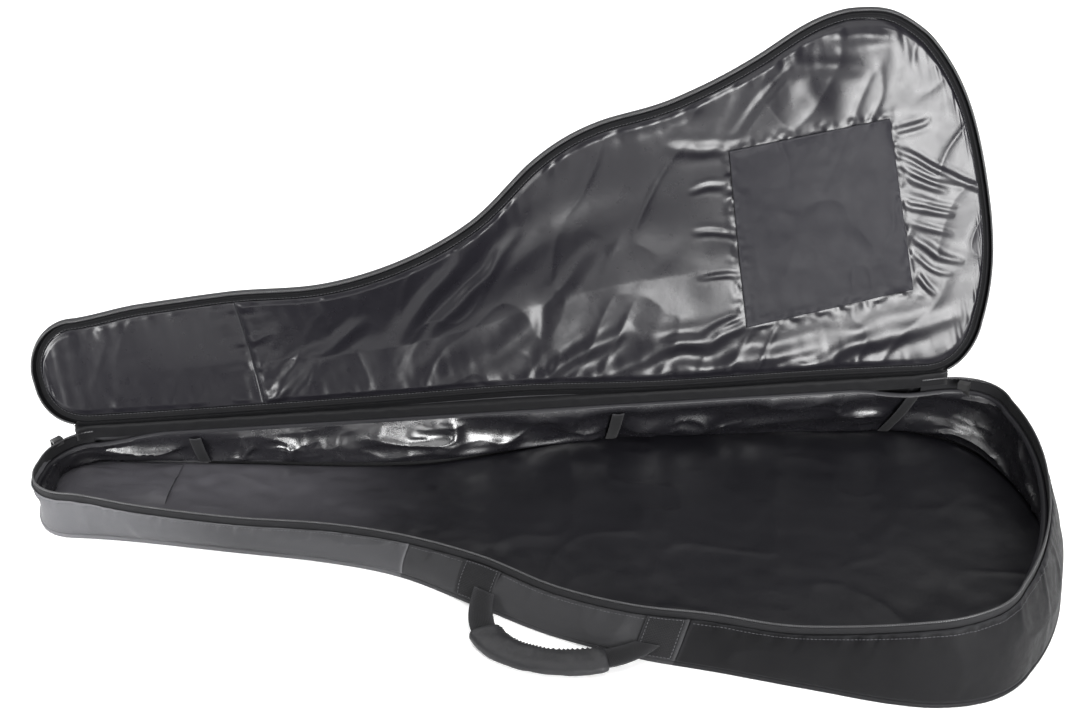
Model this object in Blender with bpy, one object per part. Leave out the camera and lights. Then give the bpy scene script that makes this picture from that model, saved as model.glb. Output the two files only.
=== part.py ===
"""Classical guitar gig bag, lying open on its back with the lid stood up on its hinge side.

Metres, +Z up. +X runs from the head end to the tail end, +Y from the handle side to the hinge side.
Everything is first laid out with the lid closed. The lid's pieces then turn with the lid_hinge empty.
"""

import math

import bmesh
import bpy
import numpy as np
from mathutils import Matrix, Vector

MM = 0.001

# Outline of the rim, where the zip closes, seen from above
HEAD_REACH = 529 * MM
TAIL_REACH = 532 * MM
HEAD_CORNER = 55 * MM
HEAD_HALF_WIDTH = 73 * MM
LOWER_BOUT = 216 * MM
NEAR_TAIL_CORNER = 102 * MM
FAR_TAIL_CORNER = 80 * MM
TAIL_END_RADIUS = 330 * MM

# The hinge is a straight fold on the far side. Its distance from the middle is given at each end.
HINGE_Y_HEAD = 41.5 * MM
HINGE_Y_TAIL = 214.3 * MM
LID_OPEN_DEGREES = 107.6

# Outline of the back panel, the same on both sides of the middle
BACK_HEAD_REACH = 531 * MM
BACK_TAIL_REACH = 547 * MM
BACK_HEAD_CORNER = 64 * MM
BACK_HEAD_HALF_WIDTH = 66 * MM
BACK_LOWER_BOUT = 226 * MM
BACK_TAIL_CORNER = 138 * MM
BACK_TAIL_END_RADIUS = 290 * MM

# Stations between the head and the lower bout: place along X, half width at the rim's zip side, half width of the back
STATIONS = {
    "head_block": (-400 * MM, 79 * MM, 68 * MM),
    "upper_neck": (-300 * MM, 77 * MM, 74 * MM),
    "lower_neck": (-200 * MM, 68 * MM, 80 * MM),
    "heel": (-120 * MM, 75 * MM, 95 * MM),
    "shoulder": (-40 * MM, 101 * MM, 131 * MM),
    "upper_bout": (40 * MM, 145 * MM, 168 * MM),
    "waist_start": (120 * MM, 170 * MM, 188 * MM),
    "waist": (200 * MM, 179 * MM, 199 * MM),
    "hip": (290 * MM, 198 * MM, 216 * MM),
}

# Heights of the rim, which the empty bag lets sag on the zip side
RIM_HEIGHT_HEAD = 58.5 * MM
RIM_HEIGHT_TAIL = 103.7 * MM
SAG_DEPTH = 40 * MM
SAG_HEAD_END = -470 * MM
SAG_DEEP_FROM = -40 * MM
SAG_DEEP_TO = 230 * MM
SAG_TAIL_END = 455 * MM
SAG_SHARE_OF_LID = 0.6
SAG_FALL = 1.3
WALL_BULGE = 5 * MM

# Layers of padded cloth
COVER = 1.2 * MM
FOAM = 5 * MM
LINING = 0.8 * MM
GAP = 0.3 * MM
FLOOR_EDGE_GAP = 0.7 * MM
CURVED_GAP = 1 * MM

# Piping round the back seam, which the bag lies on
PIPING_HEIGHT = 6.3 * MM
PIPING_WIDTH = 7 * MM
PIPING_FLAT = 3.6 * MM
PIPING_PROUD = 1 * MM

# Zip: a tape stands on each edge and carries a coil, and the coils meet at the parting line
WALL_TOP_DROP = 10 * MM
ZIP_TAPE = 1 * MM
ZIP_TAPE_LEAN = 2.2 * MM
COIL_RADIUS = 1.3 * MM
COIL_INSET = 3 * MM
COIL_APART = 2.4 * MM
COIL_START_DEGREES = 22
TAPE_INSET = 0.3 * MM
HINGE_FOLD_GAP = 1 * MM

# Lid: band round the edge, piping on it, and the padded panel inside it
BAND_FOOT = 9 * MM
BAND_WIDTH = 12 * MM
BAND_RISE = 7 * MM
BAND_SKIRT = 1.2 * MM
LID_INSET = 13 * MM
LID_PIPING_RADIUS = 2 * MM

# Patches and panels
HEAD_SEAM_X = -297 * MM
BRIDGE_PATCH_HEAD_X = 240 * MM
BRIDGE_PATCH_TAIL_X = 421 * MM
BRIDGE_PATCH_NEAR = 0.27
BRIDGE_PATCH_FAR = 0.81
PATCH = 1.2 * MM
HEAD_COVER_NEAR = 0.03
HEAD_COVER_FAR = 0.97
POCKET_HEAD_X = 105 * MM
POCKET_TAIL_X = 500 * MM
POCKET_NEAR = 0.08
POCKET_FAR = 0.66
POCKET = 3.5 * MM
POCKET_ZIP_FROM_HINGE = 88 * MM
POCKET_ZIP_HEAD_X = 125 * MM
POCKET_ZIP_TAIL_X = 385 * MM
POCKET_TAPE_WIDTH = 24 * MM
POCKET_SLIDER_START = 20 * MM
HEAD_PAD_TAIL_X = -388 * MM
HEAD_PAD_NEAR = 0.1
HEAD_PAD_FAR = 0.9
HEAD_PAD = 4 * MM
NEAR_SEAM_X = -118 * MM
WAIST_SEAM_X = 163 * MM
FAR_HEAD_SEAM_X = -365 * MM
FAR_WAIST_SEAM_X = 69 * MM
FAR_TAIL_SEAM_X = 374 * MM
SEAM_BINDING = 12 * MM

# Carry handle on the zip side, folded down onto the ground beside the bag
HANDLE_BAND = 38 * MM
HANDLE_BAND_THICK = 1.5 * MM
HANDLE_HEAD_X = -28 * MM
HANDLE_TAIL_X = 133 * MM
HANDLE_BAND_HEAD_X = -40 * MM
HANDLE_BAND_TAIL_X = 142 * MM
HANDLE_UP_THE_WALL = 0.4
HANDLE_BAND_GAP = 0.7 * MM
HANDLE_WEBBING_GAP = 0.4 * MM
HANDLE_HEAD_PULL = 90 * MM
HANDLE_TAIL_PULL = 60 * MM
HANDLE_TAIL_SLANT = 57 * MM
HANDLE_HEAD_SLANT = 10 * MM
HANDLE_WEBBING = 25 * MM
WEBBING_THICK = 2 * MM
GRIP_WIDTH = 34 * MM
GRIP_THICK = 13 * MM
HANDLE_STEPS = 25
HANDLE_SQUARE_FROM = 0.16
GRIP_FIRST_STEP = 5
GRIP_LAST_STEP = 21
GRIP_SIDES = 12
GRIP_OFF_GROUND = 0.8 * MM

# Zip sliders and their pulls
SLIDER_LENGTH = 12 * MM
SLIDER_PLATE = 1.5 * MM
SLIDER_REACH_DOWN = 7 * MM
SLIDER_BRIDGE = 1.6 * MM
SLIDER_CLEAR = 0.9 * MM
HEAD_PARK_DEGREES = 45
TAIL_PARK_DEGREES = 34
PULL_LENGTH = 26 * MM
PULL_WIDTH = 8 * MM
PULL_NECK = 4.5 * MM
PULL_THICK = 1.8 * MM
PULL_HOLE = 1.6 * MM
PULL_WALL_CLEAR = 4 * MM
PULL_WALL_LOOKS = 24

# Shoulder straps, folded flat under the back panel
STRAP_PAD_HEAD_X = -130 * MM
STRAP_PAD_TAIL_X = 205 * MM
STRAP_PAD_WIDTH = 58 * MM
STRAP_PAD_Y = 44 * MM
STRAP_PAD_CORNER = 14 * MM
STRAP_WEBBING = 25 * MM
STRAP_WEBBING_THICK = 1.7 * MM
STRAP_ANCHOR_X = 345 * MM
STRAP_ANCHOR_Y = 120 * MM
STRAP_ANCHOR_LENGTH = 44 * MM
STRAP_ANCHOR_WIDTH = 38 * MM
STRAP_YOKE_LENGTH = 46 * MM
STRAP_YOKE_WIDTH = 146 * MM
LOCK_LENGTH = 24 * MM
LOCK_WIDTH = 33 * MM
LOCK_SLOT = 4.5 * MM
LOCK_BAR = 3.6 * MM

# How finely the outline is stepped
HEAD_STEPS = 7
SIDE_STEPS = 22
TAIL_STEPS = 6
END_STEPS = 3
ACROSS = 6

# Colour, roughness and metallic value of each finish
FINISHES = {
    "grey_polyester": ((0.085, 0.087, 0.093), 0.62, 0.0),
    "black_polyester": ((0.022, 0.022, 0.025), 0.66, 0.0),
    "satin_lining": ((0.105, 0.102, 0.115), 0.4, 0.0),
    "dark_lining": ((0.03, 0.029, 0.034), 0.5, 0.0),
    "foam": ((0.16, 0.16, 0.17), 0.9, 0.0),
    "zip_tape": ((0.012, 0.012, 0.013), 0.75, 0.0),
    "coil": ((0.016, 0.016, 0.017), 0.35, 0.0),
    "webbing": ((0.018, 0.018, 0.02), 0.6, 0.0),
    "black_metal": ((0.04, 0.04, 0.042), 0.35, 0.8),
    "buckle_plastic": ((0.02, 0.02, 0.021), 0.4, 0.0),
}

# Levels worked out from the sizes
PANEL_BASE = PIPING_HEIGHT + GAP
PANEL_TOP = PANEL_BASE + COVER
FLOOR_FOAM_BASE = PANEL_TOP + GAP
FLOOR_FOAM_TOP = FLOOR_FOAM_BASE + FOAM
FLOOR_BASE = FLOOR_FOAM_TOP + GAP
FLOOR_TOP = FLOOR_BASE + LINING
FOAM_DEPTH = COVER + GAP
LINING_DEPTH = FOAM_DEPTH + FOAM + CURVED_GAP
INNER_DEPTH = LINING_DEPTH + LINING
FLOOR_EDGE_DEPTH = FOAM_DEPTH + FOAM + FLOOR_EDGE_GAP
TAPE_TOP = COIL_APART + COIL_RADIUS + GAP
HANDLE_OUT = HANDLE_BAND_GAP + HANDLE_BAND_THICK + HANDLE_WEBBING_GAP + WEBBING_THICK / 2
LID_LINING_BASE = BAND_FOOT
LID_FOAM_BASE = LID_LINING_BASE + LINING + GAP
LID_COVER_BASE = LID_FOAM_BASE + FOAM + GAP
LID_TOP = LID_COVER_BASE + COVER
HINGE_SLOPE = (HINGE_Y_TAIL - HINGE_Y_HEAD) / (HEAD_REACH + TAIL_REACH)
RIM_SLOPE = (RIM_HEIGHT_TAIL - RIM_HEIGHT_HEAD) / (HEAD_REACH + TAIL_REACH)
HINGE_STRETCH = math.hypot(1, HINGE_SLOPE)
HINGE_ANGLE = math.atan2(1, -HINGE_SLOPE)
CHAIN = HEAD_STEPS + SIDE_STEPS + TAIL_STEPS + END_STEPS
COLUMNS = 2 * CHAIN + 1
HINGE_HEAD_COLUMN = 2 * CHAIN - HEAD_STEPS
HINGE_TAIL_COLUMN = HINGE_HEAD_COLUMN - SIDE_STEPS


def hinge_y(x):
    return HINGE_Y_HEAD + HINGE_SLOPE * (x + HEAD_REACH)


def rim_plane(x):
    return RIM_HEIGHT_HEAD + RIM_SLOPE * (x + HEAD_REACH)


def sag(x):
    """How far the zip side of the rim hangs below its plane."""
    up = np.clip((x - SAG_HEAD_END) / (SAG_DEEP_FROM - SAG_HEAD_END), 0, 1)
    down = np.clip((x - SAG_DEEP_TO) / (SAG_TAIL_END - SAG_DEEP_TO), 0, 1)
    return SAG_DEPTH * np.sin(up * math.pi / 2) ** 1.25 * (1 + np.cos(down * math.pi)) / 2


def arc(centre, radius, start, end, steps):
    angles = np.linspace(start, end, steps + 1)
    return [(centre[0] + radius * math.cos(a), centre[1] + radius * math.sin(a)) for a in angles]


def side(start, end, column):
    """A smooth side from start to end through the stations, level with X at both ends."""
    inner = [(s[0], s[column]) for s in STATIONS.values() if start[0] < s[0] < end[0]]
    x, width = np.array([start, *inner, end]).T
    slope = np.zeros(len(x))
    slope[1:-1] = (width[2:] - width[:-2]) / (x[2:] - x[:-2])
    points = []
    for at in np.linspace(x[0], x[-1], SIDE_STEPS + 1):
        i = min(np.searchsorted(x, at, "right") - 1, len(x) - 2)
        run = x[i + 1] - x[i]
        u = (at - x[i]) / run
        value = width[i] * (1 + 2 * u) * (1 - u) ** 2 + width[i + 1] * u * u * (3 - 2 * u)
        value += run * (slope[i] * u * (1 - u) ** 2 - slope[i + 1] * u * u * (1 - u))
        points.append((at, -value))
    return points


def corner_inside(end_centre, end_radius, corner, low_line):
    """Centre of a corner arc that touches the tail's end arc inside and the level line y = -low_line."""
    y = corner - low_line
    return end_centre + math.sqrt((end_radius - corner) ** 2 - y * y), y


def chain(pieces):
    points = list(pieces[0])
    for piece in pieces[1:]:
        points += piece[1:]
    return np.array(points)


def rim_chains():
    """The rim's near and far sides, each from the head end to the tail tip, and the far corners' centres."""
    head_x = HEAD_CORNER - HEAD_REACH
    near_head = (head_x, HEAD_CORNER - HEAD_HALF_WIDTH)
    far_head = (head_x, hinge_y(head_x) - HEAD_CORNER * HINGE_STRETCH)
    end_x = TAIL_REACH - TAIL_END_RADIUS
    near_tail = corner_inside(end_x, TAIL_END_RADIUS, NEAR_TAIL_CORNER, LOWER_BOUT)
    # The far corner touches the hinge line and the end arc
    level = hinge_y(end_x) - FAR_TAIL_CORNER * HINGE_STRETCH
    a = 1 + HINGE_SLOPE**2
    b = HINGE_SLOPE * level
    c = level**2 - (TAIL_END_RADIUS - FAR_TAIL_CORNER) ** 2
    step = (-b + math.sqrt(b * b - a * c)) / a
    far_tail = (end_x + step, level + HINGE_SLOPE * step)
    near_turn = math.atan2(near_tail[1], near_tail[0] - end_x)
    far_turn = math.atan2(far_tail[1], far_tail[0] - end_x)
    side_start = (near_head[0], HEAD_HALF_WIDTH)
    side_end = (near_tail[0], LOWER_BOUT)
    near = chain([
        arc(near_head, HEAD_CORNER, -math.pi, -math.pi / 2, HEAD_STEPS),
        side(side_start, side_end, 1),
        arc(near_tail, NEAR_TAIL_CORNER, -math.pi / 2, near_turn, TAIL_STEPS),
        arc((end_x, 0), TAIL_END_RADIUS, near_turn, 0, END_STEPS),
    ])
    head_arc = arc(far_head, HEAD_CORNER, math.pi, HINGE_ANGLE, HEAD_STEPS)
    tail_arc = arc(far_tail, FAR_TAIL_CORNER, HINGE_ANGLE, far_turn, TAIL_STEPS)
    hinge = [tuple(p) for p in np.linspace(head_arc[-1], tail_arc[0], SIDE_STEPS + 1)]
    far = chain([head_arc, hinge, tail_arc, arc((end_x, 0), TAIL_END_RADIUS, far_turn, 0, END_STEPS)])
    return near, far, far_head, far_tail, far_turn


def back_chains():
    head = (BACK_HEAD_CORNER - BACK_HEAD_REACH, BACK_HEAD_CORNER - BACK_HEAD_HALF_WIDTH)
    end_x = BACK_TAIL_REACH - BACK_TAIL_END_RADIUS
    tail = corner_inside(end_x, BACK_TAIL_END_RADIUS, BACK_TAIL_CORNER, BACK_LOWER_BOUT)
    turn = math.atan2(tail[1], tail[0] - end_x)
    near = chain([
        arc(head, BACK_HEAD_CORNER, -math.pi, -math.pi / 2, HEAD_STEPS),
        side((head[0], BACK_HEAD_HALF_WIDTH), (tail[0], BACK_LOWER_BOUT), 2),
        arc(tail, BACK_TAIL_CORNER, -math.pi / 2, turn, TAIL_STEPS),
        arc((end_x, 0), BACK_TAIL_END_RADIUS, turn, 0, END_STEPS),
    ])
    return near, near * (1, -1)


def ring(near, far):
    """Both chains as one loop: near side from head to tail, then the far side back."""
    return np.vstack([near, far[-2::-1]])


def inward(loop):
    ahead = np.roll(loop, -1, 0) - np.roll(loop, 1, 0)
    normal = np.stack([-ahead[:, 1], ahead[:, 0]], 1)
    return normal / np.linalg.norm(normal, axis=1)[:, None]


RIM_NEAR, RIM_FAR, HEAD_ARC_CENTRE, TAIL_ARC_CENTRE, TAIL_ARC_END = rim_chains()
RIM = ring(RIM_NEAR, RIM_FAR)
BACK = ring(*back_chains())
RIM_IN = inward(RIM)
BACK_IN = inward(BACK)
ZIP_SIDE = np.arange(COLUMNS) <= CHAIN
PARTING = rim_plane(RIM[:, 0]) - sag(RIM[:, 0]) * ZIP_SIDE


def wall_rows():
    """Outer face of the side wall at its foot, middle and top, and its outward normals, for every column."""
    foot = np.column_stack([BACK, np.full(COLUMNS, PANEL_BASE)])
    top = np.column_stack([RIM, PARTING - WALL_TOP_DROP])
    middle = (foot + top) / 2
    middle[:, :2] -= BACK_IN * WALL_BULGE
    rows = np.stack([foot, middle, top], 1)
    along = np.roll(rows, -1, 0) - np.roll(rows, 1, 0)
    faces = np.cross(along[:, [0, 1, 1, 2]], (rows[:, 1:] - rows[:, :-1])[:, [0, 0, 1, 1]])
    faces /= np.linalg.norm(faces, axis=2)[..., None]
    normals = np.stack([faces[:, 0], faces[:, 1] + faces[:, 2], faces[:, 3]], 1)
    return rows, normals / np.linalg.norm(normals, axis=2)[..., None]


WALL, WALL_OUT = wall_rows()


def wall_column(column, depth):
    """The wall's three rows at a column, which may lie between two steps, at a depth below the outer face."""
    i = math.floor(column)
    share = column - i
    a, b = i % COLUMNS, (i + 1) % COLUMNS
    rows = (WALL[a] - WALL_OUT[a] * depth) * (1 - share)
    return rows + (WALL[b] - WALL_OUT[b] * depth) * share


def wall_point(column, up, depth):
    """up runs from 0 at the foot to 1 at the top, along two flat stretches."""
    rows = wall_column(column, depth)
    first = 0 if up < 0.5 else 1
    share = 2 * up - first
    return rows[first] * (1 - share) + rows[first + 1] * share


def up_at(column, height, depth):
    rows = wall_column(column, depth)
    first = 0 if height <= rows[1][2] else 1
    return (first + (height - rows[first][2]) / (rows[first + 1][2] - rows[first][2])) / 2


def columns_between(first, last):
    inner = [float(i) for i in range(math.floor(first) + 1, math.ceil(last))]
    return [first, *inner, last]


def far_column(x):
    """Column on the far side whose back outline stands at x."""
    places = BACK[CHAIN:, 0][::-1]
    return 2 * CHAIN - float(np.interp(x, places, np.arange(len(places))))


def near_column(x):
    places = BACK[: CHAIN + 1, 0]
    return float(np.interp(x, places, np.arange(len(places))))


def rim_point(column, inset, height):
    i = math.floor(column)
    share = column - i
    a, b = i % COLUMNS, (i + 1) % COLUMNS
    points = []
    for k in (a, b):
        x, y = RIM[k] + RIM_IN[k] * inset
        points.append(np.array([x, y, PARTING[k] + height]))
    return points[0] * (1 - share) + points[1] * share


def lid_grid(height):
    """The lid panel's surface, as rungs from the head to the tail with steps across from the zip side."""
    near = RIM[: CHAIN + 1] + RIM_IN[: CHAIN + 1] * LID_INSET
    order = [0, *range(COLUMNS - 1, CHAIN, -1)]
    far = np.array([RIM[k] + RIM_IN[k] * LID_INSET for k in order[1:] + [CHAIN]])
    share = np.linspace(0, 1, ACROSS + 1)
    plan = near[:, None] * (1 - share)[None, :, None] + far[:, None] * share[None, :, None]
    fall = np.clip(1 - share / SAG_SHARE_OF_LID, 0, 1) ** SAG_FALL
    level = rim_plane(plan[..., 0]) - sag(plan[..., 0]) * fall[None, :] + height
    return np.concatenate([plan, level[..., None]], 2)


def lid_rung(x):
    """Rung whose middle stands at x, which may lie between two."""
    middle = lid_grid(0).mean(1)[:, 0]
    return float(np.interp(x, middle, np.arange(CHAIN + 1)))


def lid_point(grid, rung, across):
    i = min(math.floor(rung), CHAIN - 1)
    j = min(math.floor(across * ACROSS), ACROSS - 1)
    u = rung - i
    v = across * ACROSS - j
    low = grid[i, j] * (1 - v) + grid[i, j + 1] * v
    high = grid[i + 1, j] * (1 - v) + grid[i + 1, j + 1] * v
    return low * (1 - u) + high * u


# Making objects

for old in list(bpy.data.objects):
    bpy.data.objects.remove(old)

bag = bpy.data.collections.new("guitar_gig_bag")
bpy.context.scene.collection.children.link(bag)
materials = {}


def finish_of(name):
    if name not in materials:
        colour, roughness, metallic = FINISHES[name]
        material = bpy.data.materials.new(name)
        material.use_nodes = True
        shader = material.node_tree.nodes["Principled BSDF"]
        shader.inputs["Base Color"].default_value = (*colour, 1)
        shader.inputs["Roughness"].default_value = roughness
        shader.inputs["Metallic"].default_value = metallic
        materials[name] = material
    return materials[name]


def empty(name, matrix, parent=None):
    """An axis that pieces turn or slide on: its own X is the joint's axis."""
    holder = bpy.data.objects.new(name, None)
    bag.objects.link(holder)
    holder.parent = parent
    holder.matrix_local = matrix
    return holder


def add(name, data, finish, parent, matrix=None):
    piece = bpy.data.objects.new(name, data)
    data.materials.append(finish_of(finish))
    bag.objects.link(piece)
    piece.parent = parent
    if matrix is not None:
        piece.matrix_local = matrix
    return piece


def frame(origin, x_axis, y_axis):
    """A placement with these two directions, the second made square to the first."""
    x = Vector(x_axis).normalized()
    z = x.cross(Vector(y_axis)).normalized()
    turned = Matrix((x, z.cross(x), z)).transposed().to_4x4()
    return Matrix.Translation(Vector(origin)) @ turned


def closed_mesh(name, vertices, faces, local):
    mesh = bpy.data.meshes.new(name)
    shape = bmesh.new()
    made = [shape.verts.new(local @ Vector(v)) for v in vertices]
    for face in faces:
        shape.faces.new([made[i] for i in face])
    bmesh.ops.remove_doubles(shape, verts=shape.verts, dist=1e-6)
    bmesh.ops.recalc_face_normals(shape, faces=shape.faces)
    shape.to_mesh(mesh)
    shape.free()
    mesh.shade_smooth()
    mesh.set_sharp_from_angle(angle=math.radians(35))
    return mesh


def slab(name, outer, inner, finish, parent, loop=False):
    """A layer between two matching grids of points, open-ended or closed into a loop along its first direction."""
    outer, inner = np.array(outer, float), np.array(inner, float)
    rows, steps = outer.shape[:2]
    vertices = [*outer.reshape(-1, 3), *inner.reshape(-1, 3)]
    other = rows * steps

    def at(i, j, layer):
        return (i % rows) * steps + j + layer * other

    faces = []
    for i in range(rows if loop else rows - 1):
        for j in range(steps - 1):
            faces.append([at(i, j, 0), at(i + 1, j, 0), at(i + 1, j + 1, 0), at(i, j + 1, 0)])
            faces.append([at(i, j, 1), at(i, j + 1, 1), at(i + 1, j + 1, 1), at(i + 1, j, 1)])
        for j in (0, steps - 1):
            faces.append([at(i, j, 0), at(i + 1, j, 0), at(i + 1, j, 1), at(i, j, 1)])
    if not loop:
        for i in (0, rows - 1):
            for j in range(steps - 1):
                faces.append([at(i, j, 0), at(i, j + 1, 0), at(i, j + 1, 1), at(i, j, 1)])
    return add(name, closed_mesh(name, vertices, faces, to_local(parent)), finish, parent)


def loft(name, rings, finish, parent, loop=False):
    """A solid through matching cross-sections, closed into a loop or capped at both ends."""
    count, sides = len(rings), len(rings[0])
    vertices = [p for section in rings for p in section]
    faces = []
    for i in range(count if loop else count - 1):
        for j in range(sides):
            k = (j + 1) % sides
            after = (i + 1) % count
            faces.append([i * sides + j, i * sides + k, after * sides + k, after * sides + j])
    if not loop:
        faces += [list(range(sides)), list(range((count - 1) * sides, count * sides))]
    return add(name, closed_mesh(name, vertices, faces, to_local(parent)), finish, parent)


def to_local(parent):
    """From the bag laid out with its lid closed into a parent's own axes."""
    return closed_places[parent].inverted() if parent in closed_places else Matrix.Identity(4)


def tube(name, points, radius, finish, parent, loop=False):
    curve = bpy.data.curves.new(name, "CURVE")
    curve.dimensions = "3D"
    curve.bevel_depth = radius
    curve.bevel_resolution = 1
    curve.use_fill_caps = not loop
    line = curve.splines.new("POLY")
    line.points.add(len(points) - 1)
    line.use_cyclic_u = loop
    local = to_local(parent)
    for point, place in zip(line.points, points):
        point.co = (*(local @ Vector(place)), 1)
    return add(name, curve, finish, parent)


def flat_piece(name, outlines, thickness, finish, parent, matrix):
    """A flat outline in its own XY plane, with any further outlines cut out, made this thick along Z."""
    curve = bpy.data.curves.new(name, "CURVE")
    curve.dimensions = "2D"
    curve.fill_mode = "BOTH"
    curve.extrude = thickness / 2
    for outline in outlines:
        line = curve.splines.new("POLY")
        line.points.add(len(outline) - 1)
        line.use_cyclic_u = True
        for point, place in zip(line.points, outline):
            point.co = (*place, 0, 1)
    return add(name, curve, finish, parent, matrix)


def rounded(length, width, corner, steps=4):
    """A rectangle along X with rounded corners, round its own middle."""
    x, y = length / 2 - corner, width / 2 - corner
    points = []
    for centre, start in (((x, y), 0), ((-x, y), 90), ((-x, -y), 180), ((x, -y), 270)):
        start = math.radians(start)
        points += arc(centre, corner, start, start + math.pi / 2, steps)
    return points


# The bag stands on this empty, which is moved at the end so that the origin is under its middle
stand = empty("stand", Matrix.Identity(4))
hinge_start = Vector((-HEAD_REACH, hinge_y(-HEAD_REACH), rim_plane(-HEAD_REACH)))
hinge_end = Vector((TAIL_REACH, hinge_y(TAIL_REACH), rim_plane(TAIL_REACH)))
hinge_place = frame((hinge_start + hinge_end) / 2, hinge_end - hinge_start, (0, 1, 0))
lid_turn = Matrix.Rotation(-math.radians(LID_OPEN_DEGREES), 4, "X")
lid_hinge = empty("lid_hinge", hinge_place @ lid_turn, stand)
closed_places = {lid_hinge: hinge_place}


# Base: back panel, floor and side wall

def floor_edge(column, depth, low, high):
    """Where a floor layer's edge meets the wall's layer at this depth, clear of it over the layer's height."""
    points = [wall_point(column, up_at(column, z, depth), depth)[:2] for z in (low, high)]
    i = round(column) % COLUMNS
    return max(points, key=lambda p: float((p - BACK[i]) @ BACK_IN[i]))


def floor_layer(name, depth, low, high, finish, rungs=None, near=0.0, far=1.0):
    rungs = rungs or [float(k) for k in range(CHAIN + 1)]
    upper, lower = [], []
    for k in rungs:
        a = floor_edge(k, depth, low, high)
        b = floor_edge((2 * CHAIN - k) if k < CHAIN else k, depth, low, high)
        ends = [a + (b - a) * near, a + (b - a) * far]
        upper.append([(*p, high) for p in ends])
        lower.append([(*p, low) for p in ends])
    return slab(name, upper, lower, finish, stand)


floor_layer("back_panel", FOAM_DEPTH, PANEL_BASE, PANEL_TOP, "black_polyester")
floor_layer("back_foam", FLOOR_EDGE_DEPTH, FLOOR_FOAM_BASE, FLOOR_FOAM_TOP, "foam")
floor_layer("floor_lining", FLOOR_EDGE_DEPTH, FLOOR_BASE, FLOOR_TOP, "dark_lining")
pad_rungs = columns_between(1.0, near_column(HEAD_PAD_TAIL_X))
floor_layer("head_pad", INNER_DEPTH + GAP, FLOOR_TOP + GAP, FLOOR_TOP + GAP + HEAD_PAD, "dark_lining",
            pad_rungs, HEAD_PAD_NEAR, HEAD_PAD_FAR)


def back_piping():
    rise = PIPING_HEIGHT / 2
    flat = (PIPING_WIDTH - PIPING_FLAT) / 2
    section = [(0, rise), (flat, 0), (flat + PIPING_FLAT, 0), (PIPING_WIDTH, rise),
               (flat + PIPING_FLAT, PIPING_HEIGHT), (flat, PIPING_HEIGHT)]
    rings = []
    for k in range(COLUMNS):
        rings.append([(*(BACK[k] + BACK_IN[k] * (inset - PIPING_PROUD)), z) for inset, z in section])
    loft("back_piping", rings, "black_polyester", stand, loop=True)


back_piping()


def wall_layer(name, columns, outer, inner, foot, finish, top=1.0, loop=False):
    """A layer of the side wall between two depths, from a level foot up to a share of the wall's height."""
    faces = []
    for depth in (outer, inner):
        grid = []
        for column in columns:
            start = up_at(column, foot, depth)
            middle = max(0.5, start + 0.35 * (top - start))
            grid.append([wall_point(column, up, depth) for up in (start, middle, top)])
        faces.append(grid)
    return slab(name, *faces, finish, stand, loop)


def wall_panels():
    """The outer cloth, sewn from four panels that meet at the seams."""
    head_far = far_column(FAR_HEAD_SEAM_X)
    tail_far = far_column(FAR_TAIL_SEAM_X)
    near = near_column(NEAR_SEAM_X)
    waist = near_column(WAIST_SEAM_X)
    panels = (
        ("head_wall", head_far, near + COLUMNS, "grey_polyester"),
        ("handle_wall", near, waist, "grey_polyester"),
        ("tail_wall", waist, tail_far, "black_polyester"),
        ("hinge_wall", tail_far, head_far, "black_polyester"),
    )
    for name, first, last, finish in panels:
        seam = [GAP / 2 / np.linalg.norm(np.subtract(wall_point(c + 0.5, 0.5, 0), wall_point(c - 0.5, 0.5, 0)))
                for c in (first, last)]
        columns = columns_between(first + seam[0], last - seam[1])
        wall_layer(name, columns, 0, COVER, PANEL_BASE, finish)


wall_panels()
whole = [float(k) for k in range(COLUMNS)]
wall_layer("wall_foam", whole, FOAM_DEPTH, FOAM_DEPTH + FOAM, FLOOR_FOAM_BASE, "foam", loop=True)
wall_layer("wall_lining", whole, LINING_DEPTH, INNER_DEPTH, FLOOR_TOP + GAP, "dark_lining", loop=True)


def seam_bindings():
    """Narrow tapes over the lining's seams on the far wall."""
    for name, x in (("head", FAR_HEAD_SEAM_X), ("waist", FAR_WAIST_SEAM_X), ("tail", FAR_TAIL_SEAM_X)):
        first, last = far_column(x + SEAM_BINDING / 2), far_column(x - SEAM_BINDING / 2)
        depth = INNER_DEPTH + CURVED_GAP
        wall_layer(f"seam_binding_{name}", columns_between(first, last), depth, depth + LINING,
                   FLOOR_TOP + GAP, "zip_tape", top=0.97)


seam_bindings()


# Zip tapes, coils and hinge tapes

def rim_strip(name, section, columns, finish, parent, loop=False):
    rings = [[rim_point(c, inset, height) for inset, height in section] for c in columns]
    return loft(name, rings, finish, parent, loop)


def tape_section(foot, top, sign):
    low = TAPE_INSET
    lean = ZIP_TAPE_LEAN
    return [(low, sign * foot), (low + ZIP_TAPE, sign * foot),
            (low + ZIP_TAPE + lean, sign * top), (low + lean, sign * top)]


def upright(foot, top):
    return [(TAPE_INSET, foot), (TAPE_INSET + ZIP_TAPE, foot), (TAPE_INSET + ZIP_TAPE, top), (TAPE_INSET, top)]


def column_on_arc(degrees, head):
    """Column reached after this many degrees from the hinge's end round a far corner."""
    total = math.pi - HINGE_ANGLE if head else HINGE_ANGLE - TAIL_ARC_END
    steps = HEAD_STEPS if head else TAIL_STEPS
    along = math.radians(degrees) / total * steps
    return HINGE_HEAD_COLUMN + along if head else HINGE_TAIL_COLUMN - along


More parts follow.
